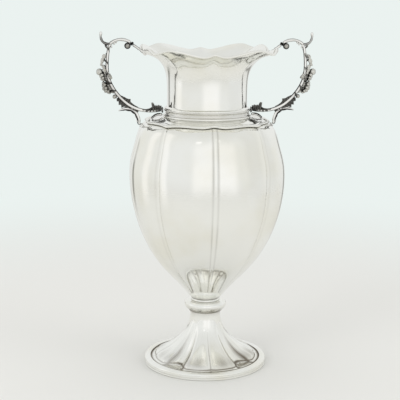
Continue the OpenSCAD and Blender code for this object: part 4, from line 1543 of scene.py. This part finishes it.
    def shoulder_scroll(self) -> Piece:
        """Cast the small scroll from the neck ring down on to the plate."""
        r = self.branch_r * 0.75
        start = (self.neck.ring_r + 2 * SEAM + r / 2, self.scroll_end.z - self.pad_r - r - SEAM)
        end_x = mix(self.body.flat_r, self.body.point_r, 0.95)
        path = []
        for x_share, z_share, thick in curve(((0, 1, 1), (0.25, 1.1, 0.95), (0.6, 0.72, 0.9),
                                              (0.88, 0.12, 0.8), (1, 0, 0.8)), 36):
            x = mix(start[0], end_x, x_share)
            seat = self.body.plate_top(x) + r * thick + 2 * SEAM
            path.append((x, 0, mix(seat, start[1], z_share), r * thick))
        main = rod("shoulder_scroll", path, 16,
                   lambda a, s: 1 + 0.1 * math.cos(2 * a), painted_edge_shade)
        leaves = []
        for sign in (-1, 1):
            spine = [(path[k][0], sign * 0.5, path[k][2] + 0.3) for k in (6, 14, 24, 32)]
            leaves.append(blade("leaf", spine, lambda u: 0.1 + 1.5 * math.sin(
                math.pi * (0.1 + 0.9 * u)) * (1 + 0.2 * math.sin(9 * math.pi * u)),
                (0, 1, 0), 0.5, 0.5))
            lay_tarnish_and_shade(leaves[-1], lambda radius, angle, height: 1.6)
        return join([main, *leaves], "shoulder_scroll")

    def vine(self) -> Piece:
        """Cast the vine that twines round the scroll, with joints and tendrils."""
        outer = self.scroll_r + SEAM + self.vine_r
        inner = 0.5 * self.scroll_r * self.slim
        path = []
        steps = 260
        for k in range(steps + 1):
            at = mix(*self.vine_span, k / steps)
            a = FULL_TURN * (at - self.vine_peak) / self.vine_turn
            away = 0.5 + 0.5 * math.cos(a)
            width = mix(inner, outer, away)
            p = self.beside(at, width * math.cos(a), width * math.sin(a))
            knot = 0.3 * bump((at * 2.2) % 1.0, 0.5, 0.07)
            path.append((*p, self.vine_r * mix(0.5, 0.92, away) + knot))
        main = rod("vine", path, 10, lambda a, s: 1 + 0.1 * math.cos(3 * a + 60 * s),
                   lambda a, s: 0.85)
        width = mix(inner, outer, 0.5)
        tendrils = []
        for at, sign in ((0.925, 1), (1.375, -1), (2.725, 1), (3.175, -1)):
            base = self.beside(at, 0.0, sign * width)
            knots = []
            for k in range(9):
                a = 0.9 * k
                loop = 1.7 * (1 - k / 11)
                knots.append((base.x + 1.2 * loop * math.sin(a), base.y + sign * 0.22 * k,
                              base.z + 1.2 * loop * (1 - math.cos(a)) - 0.2 * k, 0.42 - 0.02 * k))
            tendrils.append(rod("tendril", curve(knots, 40), 8))
        return join([main, *tendrils], "vine")

    def upper_leaf(self) -> Piece:
        """Cast the vine's upper leaves, cut in points, on both faces of the scroll."""
        def width(u: float) -> float:
            """Return a leaf's half width, cut in points."""
            points = abs(math.sin(2.6 * math.pi * u + 0.35)) ** 0.7
            return self.leaf_l * 0.17 * (0.35 + 0.65 * points) * (1 - u**3) ** 0.5 + 0.15

        leaves = []
        for sign in (-1, 1):
            for start, tip, low, high in ((1.34, 2.06, 2.8, 6.2), (2.0, 2.72, 4.2, 2.0),
                                          (2.75, 3.25, -0.4, -2.8)):
                spine = [tuple(self.beside(mix(start, tip, s), mix(low, high, s**0.7),
                                           sign * (1.4 + 1.2 * rise)))
                         for s, rise in ((0, 0.0), (0.3, 0.7), (0.65, 1.0), (1.0, 0.6))]
                leaves.append(blade("leaf", spine, width, (1.0, 0.35 * sign, 0.1), 0.3, 0.7))
        return join(leaves, "upper_leaf")

    def bunch(self, name: str, grapes: Sequence[Row], leaf: Sequence[Row]) -> Piece:
        """Cast a bunch of grapes with the leaf behind it.

        Args:
            name: The new piece's name.
            grapes: Place along the scroll, distance share, sideways share and size share.
            leaf: The leaf's jagged edge as rows of place and distance.

        Returns:
            The new piece.
        """
        balls = [ball("grape", self.beside(at, self.vine_seat + self.grape_r * out,
                                           self.grape_r * side), self.grape_r * size)
                 for at, out, side, size in grapes]
        backing = relief("leaf", self.root_line(leaf[0][0], leaf[-1][0], 1.0),
                         self.edge_line(leaf, 1.0), 2.6, 6, 56, 0.0)
        return join([*balls, backing], name)

    def upper_grapes(self) -> Piece:
        """Cast the upper bunch, with one large grape."""
        return self.bunch("upper_grapes", (
            (2.5, 1, 0, 1), (2.82, 0.72, 0.4, 0.55), (2.85, 0.62, -0.4, 0.55),
            (3.05, 0.56, 0.05, 0.55), (2.74, 0.4, 0.85, 0.5), (2.74, 0.4, -0.85, 0.5),
            (2.98, 0.25, 0.7, 0.45), (2.98, 0.25, -0.7, 0.45), (3.16, 0.3, -0.35, 0.42),
            (3.16, 0.3, 0.38, 0.42)),
            ((2.2, 2.2), (2.32, 5.4), (2.45, 3.6), (2.62, 6.2), (2.78, 4.6), (2.95, 6.6),
             (3.1, 4.4), (3.25, 5.4), (3.4, 2.4)))

    def lower_grapes(self) -> Piece:
        """Cast the lower bunch, the densest one."""
        return self.bunch("lower_grapes", (
            (3.9, 0.55, 0, 0.55), (3.68, 0.7, 0.45, 0.55), (3.68, 0.7, -0.45, 0.55),
            (4.06, 0.75, 0.5, 0.55), (4.06, 0.75, -0.5, 0.55), (3.86, 1.05, 0, 0.6),
            (3.42, 0.57, 0, 0.55), (4.28, 0.52, 0, 0.5), (3.55, 0.42, 0.85, 0.46),
            (3.55, 0.42, -0.85, 0.46), (3.86, 0.5, 0.98, 0.5), (3.86, 0.5, -0.98, 0.5),
            (4.22, 0.35, 0.7, 0.44), (4.22, 0.35, -0.7, 0.44), (3.6, 0.95, 0.02, 0.45),
            (4.12, 1.08, 0.05, 0.42), (4.42, 0.28, 0.2, 0.36), (4.42, 0.28, -0.28, 0.34)),
            ((3.3, 2.2), (3.42, 5.6), (3.55, 4.4), (3.75, 7.0), (3.9, 5.0), (4.1, 7.4),
             (4.3, 4.6), (4.45, 5.0), (4.7, 2.4)))

    def end_grape(self) -> Piece:
        """Cast the last grape, which sits on the scroll in a small cup."""
        r = self.grape_r * self.end_share
        centre = self.beside(self.end_at, self.scroll_r - SEAM + r)
        out = unit(centre - self.beside(self.end_at, 0))
        grape = ball("grape", centre, r, 18, 28)
        cup = spindle("cup", centre - out * r, out,
                      [(0.05, 0), (0.62 * r, 0.02), (0.86 * r, 0.3 * r), (1.0 * r, 0.62 * r),
                       (1.04 * r, 0.8 * r), (0.96 * r, 0.86 * r), (0.8 * r, 0.6 * r),
                       (0.05, 0.4 * r)])
        return join([grape, cup], "end_grape")

    def build(self, dresser: Dresser) -> None:
        """Build the right handle's pieces, dress them and copy each to the left."""
        cast, leaf, vine = Finish.CAST, Finish.LEAF, Finish.VINE
        neck_pad = self.neck_pad()
        pieces = {
            "scroll": (self.scroll(), cast), "neck_pad": (neck_pad, cast),
            "crest": (self.crest(), cast), "spur": (self.spur(), cast),
            "volute": (self.volute(), vine), "collar": (self.collar(), cast),
            "rim_bracket": (self.rim_bracket(), cast), "branch": (self.branch(), cast),
            "body_pad": (self.body_pad(), cast), "elbow_leaf": (self.elbow_leaf(), leaf),
            "inner_leaf": (self.inner_leaf(), leaf), "neck_leaf": (self.neck_leaf(), leaf),
            "shoulder_scroll": (self.shoulder_scroll(), cast), "vine": (self.vine(), vine),
            "upper_leaf": (self.upper_leaf(), vine), "upper_grapes": (self.upper_grapes(), vine),
            "lower_grapes": (self.lower_grapes(), vine), "end_grape": (self.end_grape(), vine),
        }
        for name, (piece, finish) in pieces.items():
            copy = half_turn_copy(piece, f"left_{name}")
            dresser.dress(piece, f"right_{name}", finish)
            dresser.dress(copy, f"left_{name}", finish)


# The floor, the light and the camera


@dataclass
class Studio:
    """A pale floor in soft light, and the photograph's viewing angle."""

    backdrop: Colour = (0.83, 0.89, 0.87)
    floor: Colour = (0.765, 0.765, 0.735)
    gloss_low: Colour = (0.86, 0.87, 0.86)
    gloss_high: Colour = (0.78, 0.79, 0.78)
    sky: Colour = (0.8, 0.8, 0.8)
    # What the silver sees: azimuth, elevation, half width, half height, softness and colour
    panels: tuple = (
        (175, 6, 24, 20, 10, (0.99, 0.99, 0.98)), (-86, 6, 9, 34, 6, (0.98, 0.98, 0.97)),
        (100, 10, 22, 40, 10, (0.8, 0.81, 0.8)), (-33, -25, 5, 26, 5, (0.26, 0.26, 0.24)),
        (33, -25, 5, 26, 5, (0.26, 0.26, 0.24)), (-170, 32, 6, 2, 2, (1.15, 1.15, 1.15)))
    # Each lamp's name, its place and size in metres, and its power in watts
    lamps: tuple = (("left_box", (-1.5, -1.2, 1.0), (0.9, 1.4), 8.0),
                    ("right_box", (1.6, -0.9, 0.9), (0.9, 1.4), 5.0),
                    ("top_box", (0.0, 0.1, 2.0), (1.6, 1.6), 8.0))
    lamp_aim: Row = (0.0, 0.0, 0.18)
    # The camera's place in metres, its turns in degrees, its lens and sensor in millimetres,
    # and how far its picture is shifted
    camera_place: Row = (-0.1361, -1.1087, 0.400)
    camera_turns: tuple = ((-7, "Z"), (78.8, "X"), (0.5, "Z"))
    lens: float = 96.03
    sensor: float = 36.0
    shift: float = -0.0155

    def floor_disc(self) -> None:
        """Lay a round floor that fades into the backdrop far from the vase."""
        deselect()
        bpy.ops.mesh.primitive_circle_add(vertices=96, radius=6.0, fill_type="NGON",
                                          location=(0.0, 0.0, -0.00005))
        disc = bpy.context.object
        disc.name = "floor"
        material = bpy.data.materials.new("floor_paper")
        material.use_nodes = True
        nodes = Nodes(material.node_tree)
        paper = nodes.tree.nodes["Principled BSDF"]
        for name, value in (("Base Color", (*self.floor, 1)), ("Roughness", 0.9),
                            ("Specular IOR Level", 0.1)):
            paper.inputs[name].default_value = value
        place = nodes.add("ShaderNodeTexCoord").outputs["Object"]
        far = nodes.add("ShaderNodeVectorMath", {0: place}, operation="LENGTH").outputs["Value"]
        glow = nodes.add("ShaderNodeEmission", {"Color": (*self.backdrop, 1), "Strength": 1.0})
        clear = nodes.add("ShaderNodeBsdfTransparent")
        gloss = nodes.add("ShaderNodeLightPath").outputs["Is Glossy Ray"]
        away = nodes.add("ShaderNodeMixShader", {0: gloss, 1: glow.outputs[0],
                                                 2: clear.outputs[0]})
        fade = nodes.ramp(far, 0.28, 1.0)
        both = nodes.add("ShaderNodeMixShader", {0: fade, 1: paper.outputs[0],
                                                 2: away.outputs[0]})
        surface = nodes.tree.nodes["Material Output"].inputs["Surface"]
        nodes.tree.links.new(both.outputs[0], surface)
        disc.data.materials.append(material)

    def panel(self, nodes: Nodes, towards: Socket, azimuth: float, elevation: float,
              width: float, rise: float, soft: float) -> Socket:
        """Add the mask of a soft panel of light, seen from the vase.

        Args:
            nodes: The world's nodes.
            towards: The direction looked in.
            azimuth: The panel's middle in degrees, from the back towards the right.
            elevation: Its middle in degrees above the table.
            width: Half its width in degrees.
            rise: Half its height in degrees.
            soft: How softly its edges fade, in degrees.

        Returns:
            The mask: one inside the panel.
        """
        az, el = math.radians(azimuth), math.radians(elevation)
        ahead = Vector((math.sin(az) * math.cos(el), math.cos(az) * math.cos(el), math.sin(el)))
        side = Vector((math.cos(az), -math.sin(az), 0.0))
        mask = nodes.calc("GREATER_THAN", nodes.dot(towards, ahead), 0.0)
        for axis, half in ((side, width), (ahead.cross(side), rise)):
            off = nodes.calc("ABSOLUTE", nodes.dot(towards, axis))
            edge = nodes.ramp(off, math.sin(math.radians(half + soft)),
                              math.sin(math.radians(max(0.0, half - soft))))
            mask = nodes.times(mask, edge)
        return mask

    def world(self) -> None:
        """Show the pale backdrop to the camera and to gloss, and give soft light."""
        world = bpy.data.worlds.new("studio")
        bpy.context.scene.world = world
        world.use_nodes = True
        nodes = Nodes(world.node_tree)
        rays = nodes.add("ShaderNodeLightPath").outputs
        towards = nodes.add("ShaderNodeTexCoord").outputs["Generated"]
        height = nodes.add("ShaderNodeSeparateXYZ", {0: towards}).outputs["Z"]
        gloss = nodes.mix(nodes.ramp(height, 0.4, 1.0), (*self.gloss_low, 1),
                          (*self.gloss_high, 1))
        gloss = nodes.mix(nodes.ramp(height, 0.05, -0.5), gloss, (*self.floor, 1))
        for *place, shade in self.panels:
            gloss = nodes.mix(self.panel(nodes, towards, *place), gloss, (*shade, 1))
        plain = nodes.mix(rays["Is Camera Ray"], (*self.sky, 1), (*self.backdrop, 1))
        seen = nodes.calc("MAXIMUM", rays["Is Glossy Ray"], rays["Is Transmission Ray"])
        nodes.tree.links.new(nodes.mix(seen, plain, gloss),
                             nodes.tree.nodes["Background"].inputs["Color"])

    def softbox(self, name: str, place: Row, size: tuple[float, float], power: float) -> None:
        """Hang a soft lamp that the silver doesn't mirror.

        Args:
            name: The lamp's name.
            place: Its place in metres.
            size: Its width and height in metres.
            power: Its power in watts.
        """
        lamp = bpy.data.lights.new(name, "AREA")
        lamp.shape = "RECTANGLE"
        lamp.size, lamp.size_y = size
        lamp.energy = power
        holder = bpy.data.objects.new(name, lamp)
        holder.visible_glossy = False
        bpy.context.scene.collection.objects.link(holder)
        holder.location = place
        ahead = Vector(self.lamp_aim) - Vector(place)
        holder.rotation_euler = ahead.to_track_quat("-Z", "Y").to_euler()

    def camera(self) -> None:
        """Set the camera at the photograph's viewing angle."""
        lens = bpy.data.cameras.new("camera")
        lens.lens, lens.sensor_width, lens.shift_x = self.lens, self.sensor, self.shift
        holder = bpy.data.objects.new("camera", lens)
        bpy.context.scene.collection.objects.link(holder)
        place = Matrix.Translation(self.camera_place)
        for degrees, axis in self.camera_turns:
            place = place @ Matrix.Rotation(math.radians(degrees), 4, axis)
        holder.matrix_world = place
        bpy.context.scene.camera = holder

    def build(self) -> None:
        """Build the floor, the light and the camera."""
        bpy.context.scene.view_settings.view_transform = "Standard"
        self.floor_disc()
        self.world()
        for lamp in self.lamps:
            self.softbox(*lamp)
        self.camera()
        LOG.info("studio built")


def main() -> None:
    """Build the vase from the table up, then its studio."""
    logging.basicConfig(level=logging.INFO, format="%(name)s: %(message)s")
    dresser = Dresser()
    foot = Foot()
    stem = Stem(foot)
    body = Body(stem.body_z)
    neck = Neck(body.ring_z)
    handle = Handle(body, neck)
    for part in (foot, stem, body, neck, handle):
        part.build(dresser)
    Studio().build()
    LOG.info("%d pieces dressed", dresser.count)
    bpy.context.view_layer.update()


if __name__ == "__main__":
    main()
